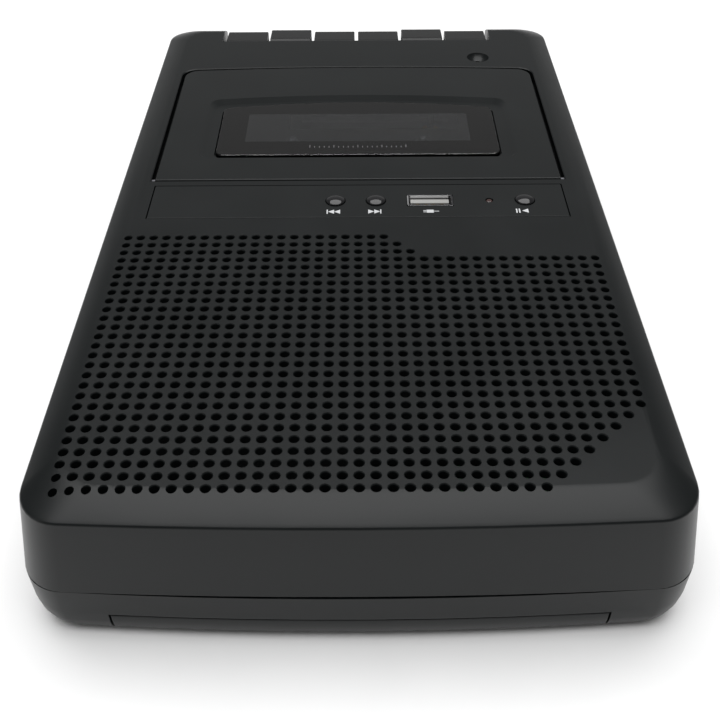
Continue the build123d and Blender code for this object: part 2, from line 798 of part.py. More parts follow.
# ---- piano keys
key_names = ["pause_key", "stop_eject_key", "fast_forward_key", "rewind_key", "play_key", "record_key"]
raised_keys = ["stop_eject_key", "play_key"]
arm_low = key_shaft_z - key_arm_thickness / 2
for index, name in enumerate(key_names):
    rise = key_rise if name in raised_keys else 0.0
    left = key_x(index) - key_width / 2
    top_z = case_top - 0.6 + rise
    with BuildPart() as key:
        with BuildSketch(Plane.YZ.offset(left)) as profile:
            with BuildLine():
                Polyline(
                    (key_rear_y, top_z),
                    (key_rear_y + key_depth - 2.6, top_z - 1.0),
                    (key_rear_y + key_depth, top_z - 1.0 - key_front_height),
                    (key_rear_y + key_depth - key_skin, top_z - 1.0 - key_front_height),
                    (key_rear_y + key_depth - 2.6 - key_skin, top_z - 1.0 - key_skin),
                    (key_rear_y + key_skin, top_z - key_skin),
                    (key_rear_y + key_skin, arm_low),
                    (key_rear_y, arm_low),
                    close=True,
                )
            make_face()
            fillet(profile.vertices().sort_by(Axis.Y)[-3:].sort_by(Axis.Z)[-1], 2.2)
        extrude(amount=key_width)
        block(
            span(key_x(index), key_arm_width / 2),
            (key_shaft_y, key_rear_y + key_skin / 2),
            (arm_low, arm_low + key_arm_thickness),
        )
        cross_rod(
            span(key_x(index), key_arm_width / 2),
            key_shaft_y,
            key_shaft_z,
            key_boss_radius,
        )
        cross_rod(
            span(key_x(index), key_width),
            key_shaft_y,
            key_shaft_z,
            key_shaft_radius + running_gap,
            Mode.SUBTRACT,
        )
    save(key.part, name)

with BuildPart() as key_shaft:
    cross_rod((-chassis_half, chassis_half), key_shaft_y, key_shaft_z, key_shaft_radius)
save(key_shaft.part, "key_shaft")

spring_wire = 0.5
with BuildPart() as key_springs:
    for index in range(key_count - 1):
        centre = key_x(index) + key_pitch / 2
        turns = [centre + (turn - 2.5) * spring_wire * 1.8 for turn in range(6)]
        with Locations(*[(x, key_shaft_y, key_shaft_z) for x in turns]):
            Torus(key_shaft_radius + 0.1 + spring_wire, spring_wire, rotation=(0, 90, 0))
save(key_springs.part, "key_springs")

# ---- tape deck
chassis_low = chassis_top - chassis_thickness
ear_x = chassis_half - 1.2
with BuildPart() as deck_chassis:
    block((-chassis_half, chassis_half), (chassis_near_y, chassis_far_y), (chassis_low, chassis_top))
    for side in (-1, 1):
        block(
            on_side(side, ear_x, chassis_half),
            (key_shaft_y - 4, key_shaft_y + 4),
            (chassis_low, key_shaft_z + 3.5),
        )
    cross_rod((-100, 100), key_shaft_y, key_shaft_z, key_shaft_radius + 0.02, Mode.SUBTRACT)
    post([(-hub_spacing / 2, hub_y), (hub_spacing / 2, hub_y)], (chassis_low - 1, chassis_top + 1), 5.5,
         Mode.SUBTRACT)
    post([(capstan_x, capstan_y)], (chassis_low - 1, chassis_top + 1), 3.0 + 0.02, Mode.SUBTRACT)
save(deck_chassis.part, "deck_chassis")

well_half = opening_half + 0.3
well_near_y = opening_near_y - 0.3
well_far_y = opening_far_y + door_far_bow + 0.3
well_low = well_floor_top - well_thickness
with BuildPart() as cassette_well:
    block(span(0, well_half + 1.2), (well_near_y - 1.2, well_far_y + 1.2), (well_low, hinge_z - 3.1))
    fillet(cassette_well.edges().filter_by(Axis.Z), 3.0)
    block((-well_half, well_half), (well_near_y, well_far_y), (well_floor_top, case_top), Mode.SUBTRACT)
    well_feet = [(x, y) for x in span(0, chassis_half - 3) for y in (chassis_near_y + 6, well_far_y - 2)]
    post(well_feet, (chassis_top, well_low + 0.2), 2.4)
    post([(-hub_spacing / 2, hub_y), (hub_spacing / 2, hub_y)], (well_low - 2, well_floor_top + 1), 6.0,
         Mode.SUBTRACT)
    block((-24, capstan_x + 10), (capstan_y - 2.4, well_far_y - 0.8), (well_low - 2, well_floor_top + 1),
          Mode.SUBTRACT)
save(cassette_well.part, "cassette_well")

carriage_low = chassis_top + 0.08
carriage_top = well_low - 0.12
carriage_near_y = head_front_y - 2.5
with BuildPart() as head_carriage:
    block((-20, capstan_x + 7), (carriage_near_y, well_far_y - 2.2), (carriage_low, carriage_top))
    capstan_notch_y = (carriage_near_y - 1, roller_y - 3)
    block(span(capstan_x, 5), capstan_notch_y, (carriage_low - 0.01, carriage_top + 1), Mode.SUBTRACT)
save(head_carriage.part, "head_carriage")

with BuildPart() as record_play_head:
    block((-6, 6), (head_front_y, head_front_y + 6.5), (carriage_top, carriage_top + 9.5))
    fillet(record_play_head.faces().sort_by(Axis.Y)[0].edges().filter_by(Axis.Z), 2.2)
save(record_play_head.part, "record_play_head")

with BuildPart() as erase_head:
    block((-17.5, -11), (head_front_y, head_front_y + 5.5), (carriage_top, carriage_top + 8.5))
    fillet(erase_head.faces().sort_by(Axis.Y)[0].edges().filter_by(Axis.Z), 1.6)
save(erase_head.part, "erase_head")

roller_z = (rail_low + 1.0, rail_low + 7.0)
with BuildPart() as pinch_bracket:
    block(span(capstan_x, 3.5), span(roller_y, 2), (carriage_top, roller_z[0] - 0.3))
    post([(capstan_x, roller_y)], (carriage_top, roller_z[1] + 0.7), 1.0)
save(pinch_bracket.part, "pinch_bracket")

with BuildPart() as pinch_roller:
    post([(capstan_x, roller_y)], roller_z, roller_radius)
    post([(capstan_x, roller_y)], (20, 40), 1.0 + running_gap, Mode.SUBTRACT)
save(pinch_roller.part, "pinch_roller")

flywheel_z = (belt_z - 1.8, belt_z + 1.8)
with BuildPart() as flywheel:
    post([(capstan_x, capstan_y)], flywheel_z, flywheel_radius)
    post([(capstan_x, capstan_y)], (flywheel_z[0], flywheel_z[1] + 2.5), 4.5)
    with BuildSketch(Plane.XZ.offset(-capstan_y)) as groove:
        with Locations((capstan_x + flywheel_radius, belt_z)):
            Rectangle(1.8, belt_thickness + 1.0)
    revolve(axis=Axis((capstan_x, capstan_y, 0), (0, 0, 1)), mode=Mode.SUBTRACT)
    post([(capstan_x, capstan_y)], (reel_table_low, reel_table_top), capstan_drive_radius)
    post([(capstan_x, capstan_y)], (flywheel_z[1], reel_table_low + 0.8), 2.6)
    post([(capstan_x, capstan_y)], (0, 40), capstan_radius + 0.02, Mode.SUBTRACT)
save(flywheel.part, "flywheel")

with BuildPart() as capstan_shaft:
    post([(capstan_x, capstan_y)], (floor_top + 1.0, spindle_top), capstan_radius)
    fillet(capstan_shaft.faces().sort_by(Axis.Z)[-1].edges(), 0.4)
save(capstan_shaft.part, "capstan_shaft")

with BuildPart() as capstan_bearing:
    post([(capstan_x, capstan_y)], (chassis_low - 0.8, chassis_top + 1.0), 3.0)
    bore = capstan_radius + running_gap
    post([(capstan_x, capstan_y)], (chassis_low - 2, chassis_top + 3), bore, Mode.SUBTRACT)
save(capstan_bearing.part, "capstan_bearing")

for name, x in {"supply_spindle": -hub_spacing / 2, "take_up_spindle": hub_spacing / 2}.items():
    with BuildPart() as spindle:
        post([(x, hub_y)], (reel_table_low, reel_table_top), reel_table_radius)
        post([(x, hub_y)], (reel_table_top, well_floor_top + 1.2), 4.6)
        post([(x, hub_y)], (well_floor_top + 1, spindle_top - 2), 2.6)
        for turn in range(3):
            angle = math.radians(90 + 120 * turn)
            spline_x = x + 2.6 * math.cos(angle)
            spline_y = hub_y + 2.6 * math.sin(angle)
            with Locations(Location((spline_x, spline_y, spindle_top - 6.0), (0, 0, 90 + 120 * turn))):
                Box(2.6, 1.2, 8.0)
        fillet(spindle.faces().sort_by(Axis.Z)[-1].edges(), 0.3)
        with Locations((x, hub_y, spindle_top - 2)):
            Cone(2.6, 1.0, 2.0, align=(Align.CENTER, Align.CENTER, Align.MIN))
    save(spindle.part, name)

reach = math.hypot(capstan_x - hub_spacing / 2, capstan_from_hub)
idler_radius = (reach - reel_table_radius - capstan_drive_radius) / 2 - curved_gap
idler_share = (capstan_drive_radius + curved_gap + idler_radius) / reach
idler_x = capstan_x + (hub_spacing / 2 - capstan_x) * idler_share
idler_y = capstan_y - capstan_from_hub * idler_share
with BuildPart() as idler_wheel:
    post([(idler_x, idler_y)], (reel_table_low + 0.2, reel_table_top - 0.2), idler_radius)
    post([(idler_x, idler_y)], (reel_table_low - 1, chassis_top), 1.0 + running_gap, Mode.SUBTRACT)
save(idler_wheel.part, "idler_wheel")

with BuildPart() as idler_pin:
    post([(idler_x, idler_y)], (reel_table_low - 0.6, chassis_low), 1.0)
    post([(idler_x, idler_y)], (reel_table_low - 1.0, reel_table_low - 0.2), 1.8)
save(idler_pin.part, "idler_pin")

motor_low = belt_z + 2.6
with BuildPart() as motor:
    post([(motor_x, motor_y)], (motor_low, chassis_low), motor_radius)
    fillet(motor.faces().sort_by(Axis.Z)[0].edges(), 1.2)
    post([(motor_x, motor_y)], (motor_low - 0.6, motor_low + 0.5), 3.0)
save(motor.part, "motor")

with BuildPart() as motor_pulley:
    post([(motor_x, motor_y)], (belt_z - 1.8, belt_z + 1.8), motor_pulley_radius + 1.0)
    with BuildSketch(Plane.XZ.offset(-motor_y)) as groove:
        with Locations((motor_x + motor_pulley_radius + 1.0, belt_z)):
            Rectangle(2.0, belt_thickness + 1.0)
    revolve(axis=Axis((motor_x, motor_y, 0), (0, 0, 1)), mode=Mode.SUBTRACT)
save(motor_pulley.part, "motor_pulley")

with BuildPart() as drive_belt:
    for thickness, mode in ((belt_thickness, Mode.ADD), (0.0, Mode.SUBTRACT)):
        with BuildSketch(Plane.XY.offset(belt_z - belt_thickness / 2)) as loop:
            with Locations((capstan_x, capstan_y)):
                Circle(flywheel_radius - 0.9 + curved_gap + thickness)
            with Locations((motor_x, motor_y)):
                Circle(motor_pulley_radius + curved_gap + thickness)
            make_hull()
        extrude(loop.sketch, amount=belt_thickness, mode=mode)
save(drive_belt.part, "drive_belt")

# ---- loudspeaker
gasket_low = inner_top - 0.6
frame_top = gasket_low
magnet_top = inner_top - speaker_height + speaker_magnet_height
with BuildPart() as speaker_gasket:
    post([(speaker_x, speaker_y)], (gasket_low, inner_top), speaker_radius)
    post([(speaker_x, speaker_y)], (gasket_low - 1, inner_top + 1), speaker_radius - 4, Mode.SUBTRACT)
save(speaker_gasket.part, "speaker_gasket")

with BuildPart() as speaker_frame:
    with BuildSketch(Plane.XZ.offset(-speaker_y)) as basket:
        with BuildLine():
            Polyline(
                (speaker_x + speaker_radius, frame_top),
                (speaker_x + speaker_radius, frame_top - 1.0),
                (speaker_x + speaker_radius - 4.5, frame_top - 1.0),
                (speaker_x + speaker_radius - 6.5, frame_top - 7.0),
                (speaker_x + speaker_magnet_radius - 1, magnet_top),
                (speaker_x + 9, magnet_top),
                (speaker_x + 9, magnet_top + 1.2),
                (speaker_x + speaker_magnet_radius - 1.5, magnet_top + 1.2),
                (speaker_x + speaker_radius - 7.5, frame_top - 6.6),
                (speaker_x + speaker_radius - 5.4, frame_top),
                close=True,
            )
        make_face()
    revolve(axis=Axis((speaker_x, speaker_y, 0), (0, 0, 1)))
    window_z = (magnet_top + frame_top) / 2 - 2
    for turn in range(6):
        with Locations(Location((speaker_x, speaker_y, window_z), (0, 0, 60 * turn))):
            with Locations((speaker_magnet_radius + 6, 0, 0)):
                Box(12, 13, 7, mode=Mode.SUBTRACT)
save(speaker_frame.part, "speaker_frame")

with BuildPart() as speaker_magnet:
    post([(speaker_x, speaker_y)], (magnet_top - speaker_magnet_height, magnet_top), speaker_magnet_radius)
    chamfer(speaker_magnet.faces().sort_by(Axis.Z)[0].edges(), 1.0)
    post([(speaker_x, speaker_y)], (magnet_top - 1, magnet_top + 4), 6.0)
save(speaker_magnet.part, "speaker_magnet")

with BuildPart() as speaker_cone:
    with BuildSketch(Plane.XZ.offset(-speaker_y)) as sheet:
        with BuildLine():
            Polyline(
                (speaker_x + speaker_radius - 4.6, frame_top),
                (speaker_x + speaker_radius - 5.6, frame_top),
                (speaker_x + speaker_radius - 8.0, frame_top - 1.6),
                (speaker_x + 9.0, frame_top - 8.6),
                (speaker_x + 6.0, frame_top - 6.0),
                (speaker_x, frame_top - 5.0),
                (speaker_x, frame_top - 4.3),
                (speaker_x + 6.2, frame_top - 5.3),
                (speaker_x + 9.2, frame_top - 7.9),
                (speaker_x + speaker_radius - 8.2, frame_top - 0.9),
                (speaker_x + speaker_radius - 5.4, frame_top + 0.4),
                (speaker_x + speaker_radius - 4.6, frame_top + 0.4),
                close=True,
            )
        make_face()
    revolve(axis=Axis((speaker_x, speaker_y, 0), (0, 0, 1)))
save(speaker_cone.part, "speaker_cone")

# ---- electronics
with BuildPart() as main_board:
    block(main_board_x, main_board_y, (main_board_z, main_board_z + board_thickness))
save(main_board.part, "main_board")

board_face = main_board_z + board_thickness
with BuildPart() as board_components:
    for row in range(4):
        y = main_board_y[0] + 10 + row * 12
        post([(main_board_x[0] + 6, y)], (board_face, board_face + 10), 3.2)
        post([(main_board_x[1] - 6, y)], (board_face, board_face + 7), 2.5)
        block((main_board_x[0] + 12, main_board_x[1] - 12), span(y, 3.2), (board_face, board_face + 2.4))
save(board_components.part, "board_components")

with BuildPart() as jack_board:
    block(jack_board_x, jack_board_y, (side_board_z, side_board_z + board_thickness))
save(jack_board.part, "jack_board")

wall_x = case_width / 2 - wall_lean * (jack_z - upper_edge)
body_x = wall_x - wall - wall_lean * 4.6 - slide_gap
nose_x = wall_x + 0.3
for name, y, bore in zip(("earphone_jack", "microphone_jack", "dc_jack"), jack_places, jack_bores):
    half = bore + jack_nose_wall
    with BuildPart() as jack:
        block((nose_x - jack_length, body_x), span(y, 4.6), (side_board_z + board_thickness, jack_z + 4.6))
        block((body_x - 1, nose_x), span(y, half), span(jack_z, half))
        cross_rod((nose_x - jack_length + 2, nose_x + 1), y, jack_z, bore, Mode.SUBTRACT)
    save(jack.part, name)

with BuildPart() as volume_wheel:
    post([(volume_x, volume_y)], span(volume_z, volume_thickness / 2), volume_radius)
    for turn in range(36):
        angle = math.radians(10 * turn)
        knurl_x = volume_x + volume_radius * math.cos(angle)
        knurl_y = volume_y + volume_radius * math.sin(angle)
        with Locations((knurl_x, knurl_y, volume_z)):
            Cylinder(0.45, volume_thickness + 1, mode=Mode.SUBTRACT)
    post([(volume_x, volume_y)], (10, 40), 1.5 + running_gap, Mode.SUBTRACT)
save(volume_wheel.part, "volume_wheel")

volume_base = volume_board_z + board_thickness
with BuildPart() as volume_control:
    block((volume_x - 5.5, volume_x + 7), (volume_y - 9, volume_y + 9), (volume_board_z, volume_base))
    post([(volume_x, volume_y)], (volume_base, volume_z - volume_thickness / 2 - 0.5), 5.5)
    post([(volume_x, volume_y)], (volume_base, volume_z + volume_thickness / 2 + 0.6), 1.5)
save(volume_control.part, "volume_control")

with BuildPart() as battery_contacts:
    cell_z = floor_top + cell_diameter / 2
    for side in (-1, 1):
        for row in (0, 1):
            y = bay_near_y + bay_room / 2 + cell_diameter * (row + 0.5)
            block(on_side(side, bay_half - 0.4, bay_half), span(y, 5), (floor_top + 1, bay_top - 1))
            cross_rod(on_side(side, bay_half - 0.9, bay_half - 0.3), y, cell_z, 2.6)
save(battery_contacts.part, "battery_contacts")

with BuildPart() as microphone:
    post([(mic_x, mic_y)], (inner_top - 5.2, inner_top - 0.4), mic_radius)
save(microphone.part, "microphone")

if __name__ == "__main__":
    print("rows", field_rows, "columns", field_columns, "holes", len(field_places()))
    print("door", round(door_near_y, 2), round(door_far_y, 2))
    print("strip", round(strip_near_y, 2), round(strip_far_y, 2))
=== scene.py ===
# %% [markdown]
# # A portable cassette recorder
# The measured model is loaded first and stays fixed: it says where every piece is and how it moves.
# Everything below gives that model its looks. Lengths are in metres, +Z is up and the keys are at +Y.

# %% Load the measured model
import bpy
import json
import math
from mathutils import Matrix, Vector


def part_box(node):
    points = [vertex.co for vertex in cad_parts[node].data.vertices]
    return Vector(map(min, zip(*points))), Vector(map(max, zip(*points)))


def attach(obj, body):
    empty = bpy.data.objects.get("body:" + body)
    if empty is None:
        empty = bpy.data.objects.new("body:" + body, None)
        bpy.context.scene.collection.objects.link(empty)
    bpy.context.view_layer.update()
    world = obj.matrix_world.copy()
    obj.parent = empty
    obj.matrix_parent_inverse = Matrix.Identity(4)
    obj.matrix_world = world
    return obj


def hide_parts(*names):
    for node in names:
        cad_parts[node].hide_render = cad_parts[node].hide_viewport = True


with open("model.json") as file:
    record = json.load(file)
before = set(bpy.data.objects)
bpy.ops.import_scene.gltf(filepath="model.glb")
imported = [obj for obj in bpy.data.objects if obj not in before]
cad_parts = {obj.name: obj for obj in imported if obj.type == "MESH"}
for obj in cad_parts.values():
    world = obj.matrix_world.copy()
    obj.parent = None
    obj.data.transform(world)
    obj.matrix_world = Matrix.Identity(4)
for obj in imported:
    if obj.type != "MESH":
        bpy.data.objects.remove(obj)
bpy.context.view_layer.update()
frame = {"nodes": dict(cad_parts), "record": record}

MM = 0.001

# %% [markdown]
# ## Places taken from the model
# Sizes that the new pieces share with the measured ones are read from the boxes of its nodes, so a
# new piece always lands on the old one.

# %% Read the boxes
case_low, case_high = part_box("top_case")
grille_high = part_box("speaker_grille")[1]
panel_low, panel_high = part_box("control_panel")
door_low, door_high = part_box("cassette_door")
lens_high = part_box("window_lens")[1]
CASE_TOP = case_high.z
HALF_WIDTH = case_high.x
NEAR_Y, FAR_Y = case_low.y, case_high.y
PARTING_Z = case_low.z
NEAR_BOW = 2.2 * MM
NEAR_RADIUS, FAR_RADIUS = 10 * MM, 8 * MM
CREASE_Z = CASE_TOP - 3.2 * MM
WALL = 2.2 * MM
PITCH = 3.5 * MM
print("case", [round(v, 4) for v in (*case_low, *case_high)])

# %% [markdown]
# ## Small helpers
# Operators act on whatever is selected, so every step starts from nothing selected. The helpers keep
# that in one place: one selects an object alone, one picks faces, edges or corners by a test on their
# place, and one adds a modifier and applies it at once.

# %% Selection and modifier helpers
def only(obj):
    """Select one object alone and make it active."""
    bpy.ops.object.select_all(action="DESELECT")
    obj.select_set(True)
    bpy.context.view_layer.objects.active = obj
    return obj


def pick(obj, kind, test):
    """Select the elements of a mesh in object mode by a test on their centre or, for edges, both ends."""
    mesh = obj.data
    for group in (mesh.vertices, mesh.edges, mesh.polygons):
        group.foreach_set("select", [False] * len(group))
    if kind == "VERT":
        for vertex in mesh.vertices:
            vertex.select = test(vertex.co)
    if kind == "EDGE":
        for edge in mesh.edges:
            edge.select = all(test(mesh.vertices[i].co) for i in edge.vertices)
    if kind == "FACE":
        for face in mesh.polygons:
            face.select = test(face.center)


def edit(obj, kind, test):
    """Enter edit mode with the tested elements selected."""
    only(obj)
    pick(obj, kind, test)
    bpy.ops.object.mode_set(mode="EDIT")
    bpy.ops.mesh.select_mode(type=kind)


def done():
    """Leave edit mode."""
    bpy.ops.object.mode_set(mode="OBJECT")


def modify(obj, kind, **settings):
    """Add a modifier with these settings and apply it."""
    only(obj)
    modifier = obj.modifiers.new(kind.lower(), kind)
    for key, value in settings.items():
        setattr(modifier, key, value)
    bpy.ops.object.modifier_apply(modifier=modifier.name)
    return obj


def settle(obj):
    """Put the object's place into its mesh, so that the object itself sits at the origin."""
    only(obj)
    bpy.ops.object.transform_apply(location=True, rotation=True, scale=True)
    return obj


def outward(obj):
    """Turn every face of a closed mesh outwards."""
    edit(obj, "FACE", lambda centre: True)
    bpy.ops.mesh.normals_make_consistent(inside=False)
    done()
    return obj


def smooth(obj, degrees=32):
    """Smooth shading that keeps the real edges, weighted so that large flats stay flat."""
    only(obj)
    bpy.ops.object.shade_smooth_by_angle(angle=math.radians(degrees))
    return modify(obj, "WEIGHTED_NORMAL", keep_sharp=True, weight=50)


def remove(obj):
    """Delete a helper object with its mesh."""
    mesh = obj.data
    bpy.data.objects.remove(obj)
    bpy.data.meshes.remove(mesh)


def cut(obj, cutter, operation="DIFFERENCE"):
    """Cut one closed mesh with another, then delete the cutter."""
    modify(obj, "BOOLEAN", object=cutter, operation=operation, solver="EXACT")
    remove(cutter)
    return obj


def named(obj, name):
    """Name an object and its mesh."""
    obj.name = name
    obj.data.name = name
    return obj


def join(parts, name):
    """Join several meshes into one piece."""
    bpy.ops.object.select_all(action="DESELECT")
    for part in parts:
        part.select_set(True)
    bpy.context.view_layer.objects.active = parts[0]
    bpy.ops.object.join()
    return named(bpy.context.view_layer.objects.active, name)


def box(name, x, y, z):
    """A closed box between the limits on each axis."""
    bpy.ops.object.select_all(action="DESELECT")
    bpy.ops.mesh.primitive_cube_add(
        size=1, location=((x[0] + x[1]) / 2, (y[0] + y[1]) / 2, (z[0] + z[1]) / 2),
    )
    made = bpy.context.object
    made.scale = (x[1] - x[0], y[1] - y[0], z[1] - z[0])
    return named(settle(made), name)


def drum(name, centre, radius, z, corners=48):
    """A closed upright cylinder."""
    bpy.ops.object.select_all(action="DESELECT")
    bpy.ops.mesh.primitive_cylinder_add(
        vertices=corners, radius=radius, depth=z[1] - z[0], location=(centre[0], centre[1], (z[0] + z[1]) / 2)
    )
    return named(settle(bpy.context.object), name)


print("helpers ready")

# %% [markdown]
# ## Materials
# The recorder is almost all black plastic, so its surfaces have to differ by texture and gloss rather
# than by colour. The case has a fine moulded grain, the buttons and the window are polished, and each
# metal has its own brushing. Every pattern reads Object coordinates, so it stays put on its piece.

# %% Node helpers
def shader(name):
    """A new material with its Principled shader and Object coordinates."""
    material = bpy.data.materials.new(name)
    material.use_nodes = True
    nodes = material.node_tree.nodes
    links = material.node_tree.links
    bsdf = nodes["Principled BSDF"]
    coordinates = nodes.new("ShaderNodeTexCoord")
    return material, nodes, links, bsdf, coordinates.outputs["Object"]


def noise(nodes, links, vector, scale, detail=2.0, stretch=(1, 1, 1)):
    """A noise pattern with this many features in a metre."""
    mapping = nodes.new("ShaderNodeMapping")
    mapping.inputs["Scale"].default_value = stretch
    links.new(vector, mapping.inputs["Vector"])
    texture = nodes.new("ShaderNodeTexNoise")
    texture.inputs["Scale"].default_value = scale
    texture.inputs["Detail"].default_value = detail
    links.new(mapping.outputs["Vector"], texture.inputs["Vector"])
    return texture.outputs["Fac"]


def spread(nodes, links, value, low, high):
    """Turn a pattern into numbers between two limits."""
    ranged = nodes.new("ShaderNodeMapRange")
    ranged.inputs["From Min"].default_value = 0.3
    ranged.inputs["From Max"].default_value = 0.7
    ranged.inputs["To Min"].default_value = low
    ranged.inputs["To Max"].default_value = high
    links.new(value, ranged.inputs["Value"])
    return ranged.outputs["Result"]


def tint(nodes, links, value, dark, light):
    """Turn a pattern into a colour between two."""
    ramp = nodes.new("ShaderNodeValToRGB")
    ramp.color_ramp.elements[0].position = 0.3
    ramp.color_ramp.elements[1].position = 0.7
    ramp.color_ramp.elements[0].color = (*dark, 1)
    ramp.color_ramp.elements[1].color = (*light, 1)
    links.new(value, ramp.inputs["Fac"])
    return ramp.outputs["Color"]


def relief(nodes, links, bsdf, height, strength, depth):
    """Give the shader small bumps from a pattern."""
    bump = nodes.new("ShaderNodeBump")
    bump.inputs["Strength"].default_value = strength
    bump.inputs["Distance"].default_value = depth
    links.new(height, bump.inputs["Height"])
    links.new(bump.outputs["Normal"], bsdf.inputs["Normal"])


def surface(
    name, dark, light, rough, grain, strength, depth, metallic=0.0, stretch=(1, 1, 1), patches=45, shine=0.5
):
    """A material whose colour and gloss drift over broad patches, with a fine relief on top."""
    material, nodes, links, bsdf, vector = shader(name)
    broad = noise(nodes, links, vector, patches, 4.0)
    fine = noise(nodes, links, vector, grain, 2.0, stretch)
    links.new(tint(nodes, links, broad, dark, light), bsdf.inputs["Base Color"])
    links.new(spread(nodes, links, broad, rough[0], rough[1]), bsdf.inputs["Roughness"])
    relief(nodes, links, bsdf, fine, strength, depth)
    bsdf.inputs["Metallic"].default_value = metallic
    bsdf.inputs["Specular IOR Level"].default_value = shine
    return material


print("node helpers ready")

# %% [markdown]
# ### Plastics
# The case grain is spark-eroded into the mould: tiny rounded pits a fifth of a millimetre apart. It is
# the pits that turn a sharp reflection into the soft sheen of the real case.

# %% Plastics
case_plastic = surface(
    "case_plastic", (0.0040, 0.0052, 0.0054), (0.0054, 0.0067, 0.0070), (0.31, 0.36), 5200, 0.22,
    0.00004, shine=0.26,
)
door_plastic = surface(
    "door_plastic", (0.0052, 0.0064, 0.0066), (0.0066, 0.0080, 0.0082), (0.31, 0.36), 5200, 0.18,
    0.00004, shine=0.26,
)
key_plastic = surface(
    "key_plastic", (0.0055, 0.0059, 0.0062), (0.0074, 0.0078, 0.0081), (0.34, 0.41), 4800, 0.22,
    0.00004, shine=0.32,
)
inner_plastic = surface(
    "inner_plastic", (0.012, 0.012, 0.013), (0.020, 0.020, 0.021), (0.48, 0.58), 2600, 0.25, 0.00006,
)
gloss_plastic = surface(
    "gloss_plastic", (0.006, 0.006, 0.007), (0.009, 0.009, 0.010), (0.07, 0.13), 900, 0.05, 0.00003,
)
nylon = surface("nylon", (0.030, 0.030, 0.031), (0.045, 0.045, 0.046), (0.38, 0.50), 1800, 0.15, 0.00005)
white_insulator = surface(
    "white_insulator", (0.30, 0.30, 0.29), (0.38, 0.38, 0.37), (0.35, 0.45), 2500, 0.10, 0.00003,
)
rubber = surface("rubber", (0.010, 0.010, 0.010), (0.019, 0.018, 0.018), (0.70, 0.86), 3200, 0.45, 0.00008)
print("plastics", len(bpy.data.materials))

# %% [markdown]
# ### Metals
# Metals are told apart by how they were worked. Sheet is rolled, so its scratches run one way; turned
# parts have rings, which a noise squeezed along one axis stands for well enough at this size.

# %% Metals
bright_steel = surface(
    "bright_steel", (0.62, 0.62, 0.63), (0.78, 0.78, 0.79), (0.14, 0.26), 900, 0.10, 0.00002, 1.0,
    (1, 8, 8),
)
spring_steel = surface(
    "spring_steel", (0.40, 0.40, 0.42), (0.56, 0.56, 0.57), (0.25, 0.38), 1200, 0.15, 0.00002, 1.0,
)
sheet_steel = surface(
    "sheet_steel", (0.36, 0.37, 0.38), (0.52, 0.53, 0.54), (0.30, 0.46), 700, 0.30, 0.00003, 1.0,
    (12, 1, 1), 90,
)
dark_steel = surface(
    "dark_steel", (0.05, 0.05, 0.055), (0.10, 0.10, 0.105), (0.30, 0.45), 1200, 0.15, 0.00003, 1.0,
)
turned_metal = surface(
    "turned_metal", (0.50, 0.50, 0.51), (0.66, 0.66, 0.67), (0.22, 0.34), 1500, 0.20, 0.00002, 1.0,
    (1, 1, 10),
)
brass = surface(
    "brass", (0.55, 0.37, 0.12), (0.70, 0.50, 0.20), (0.22, 0.36), 1400, 0.15, 0.00002, 1.0, (1, 1, 8),
)
ferrite = surface(
    "ferrite", (0.030, 0.030, 0.032), (0.050, 0.050, 0.052), (0.50, 0.66), 1500, 0.40, 0.00008, 0.3,
)
print("metals", len(bpy.data.materials))

# %% [markdown]
# ### Paper, felt, circuit board and clear parts
# The cone is pressed pulp, so its fibres are long and uneven. The board's green lacquer shows faint
# copper tracks beneath it: a brick pattern with thin, uneven joints gives their right-angled look.

# %% Other materials
cone_paper = surface(
    "cone_paper", (0.018, 0.018, 0.018), (0.045, 0.044, 0.042), (0.78, 0.92), 1600, 0.6, 0.0002, 0.0,
    (1, 1, 4), 300,
)
felt = surface("felt", (0.012, 0.012, 0.012), (0.030, 0.030, 0.030), (0.90, 0.98), 4000, 0.8, 0.0002)


def make_board():
    material, nodes, links, bsdf, vector = shader("circuit_board")
    mapping = nodes.new("ShaderNodeMapping")
    mapping.inputs["Scale"].default_value = (140, 140, 140)
    links.new(vector, mapping.inputs["Vector"])
    tracks = nodes.new("ShaderNodeTexBrick")
    tracks.inputs["Color1"].default_value = (0.010, 0.055, 0.022, 1)
    tracks.inputs["Color2"].default_value = (0.014, 0.070, 0.028, 1)
    tracks.inputs["Mortar"].default_value = (0.040, 0.120, 0.040, 1)
    tracks.inputs["Mortar Size"].default_value = 0.03
    links.new(mapping.outputs["Vector"], tracks.inputs["Vector"])
    links.new(tracks.outputs["Color"], bsdf.inputs["Base Color"])
    links.new(spread(nodes, links, noise(nodes, links, vector, 60), 0.22, 0.34), bsdf.inputs["Roughness"])
    relief(nodes, links, bsdf, tracks.outputs["Fac"], 0.3, 0.00003)
    return material


def make_clear(name, dark, light, transmission):
    """Clear moulded plastic with a faint swirl in its tint."""
    material, nodes, links, bsdf, vector = shader(name)
    broad = noise(nodes, links, vector, 30, 3.0)
    links.new(tint(nodes, links, broad, dark, light), bsdf.inputs["Base Color"])
    links.new(spread(nodes, links, broad, 0.02, 0.05), bsdf.inputs["Roughness"])
    relief(nodes, links, bsdf, noise(nodes, links, vector, 90), 0.02, 0.00002)
    bsdf.inputs["Transmission Weight"].default_value = transmission
    bsdf.inputs["IOR"].default_value = 1.49
    return material


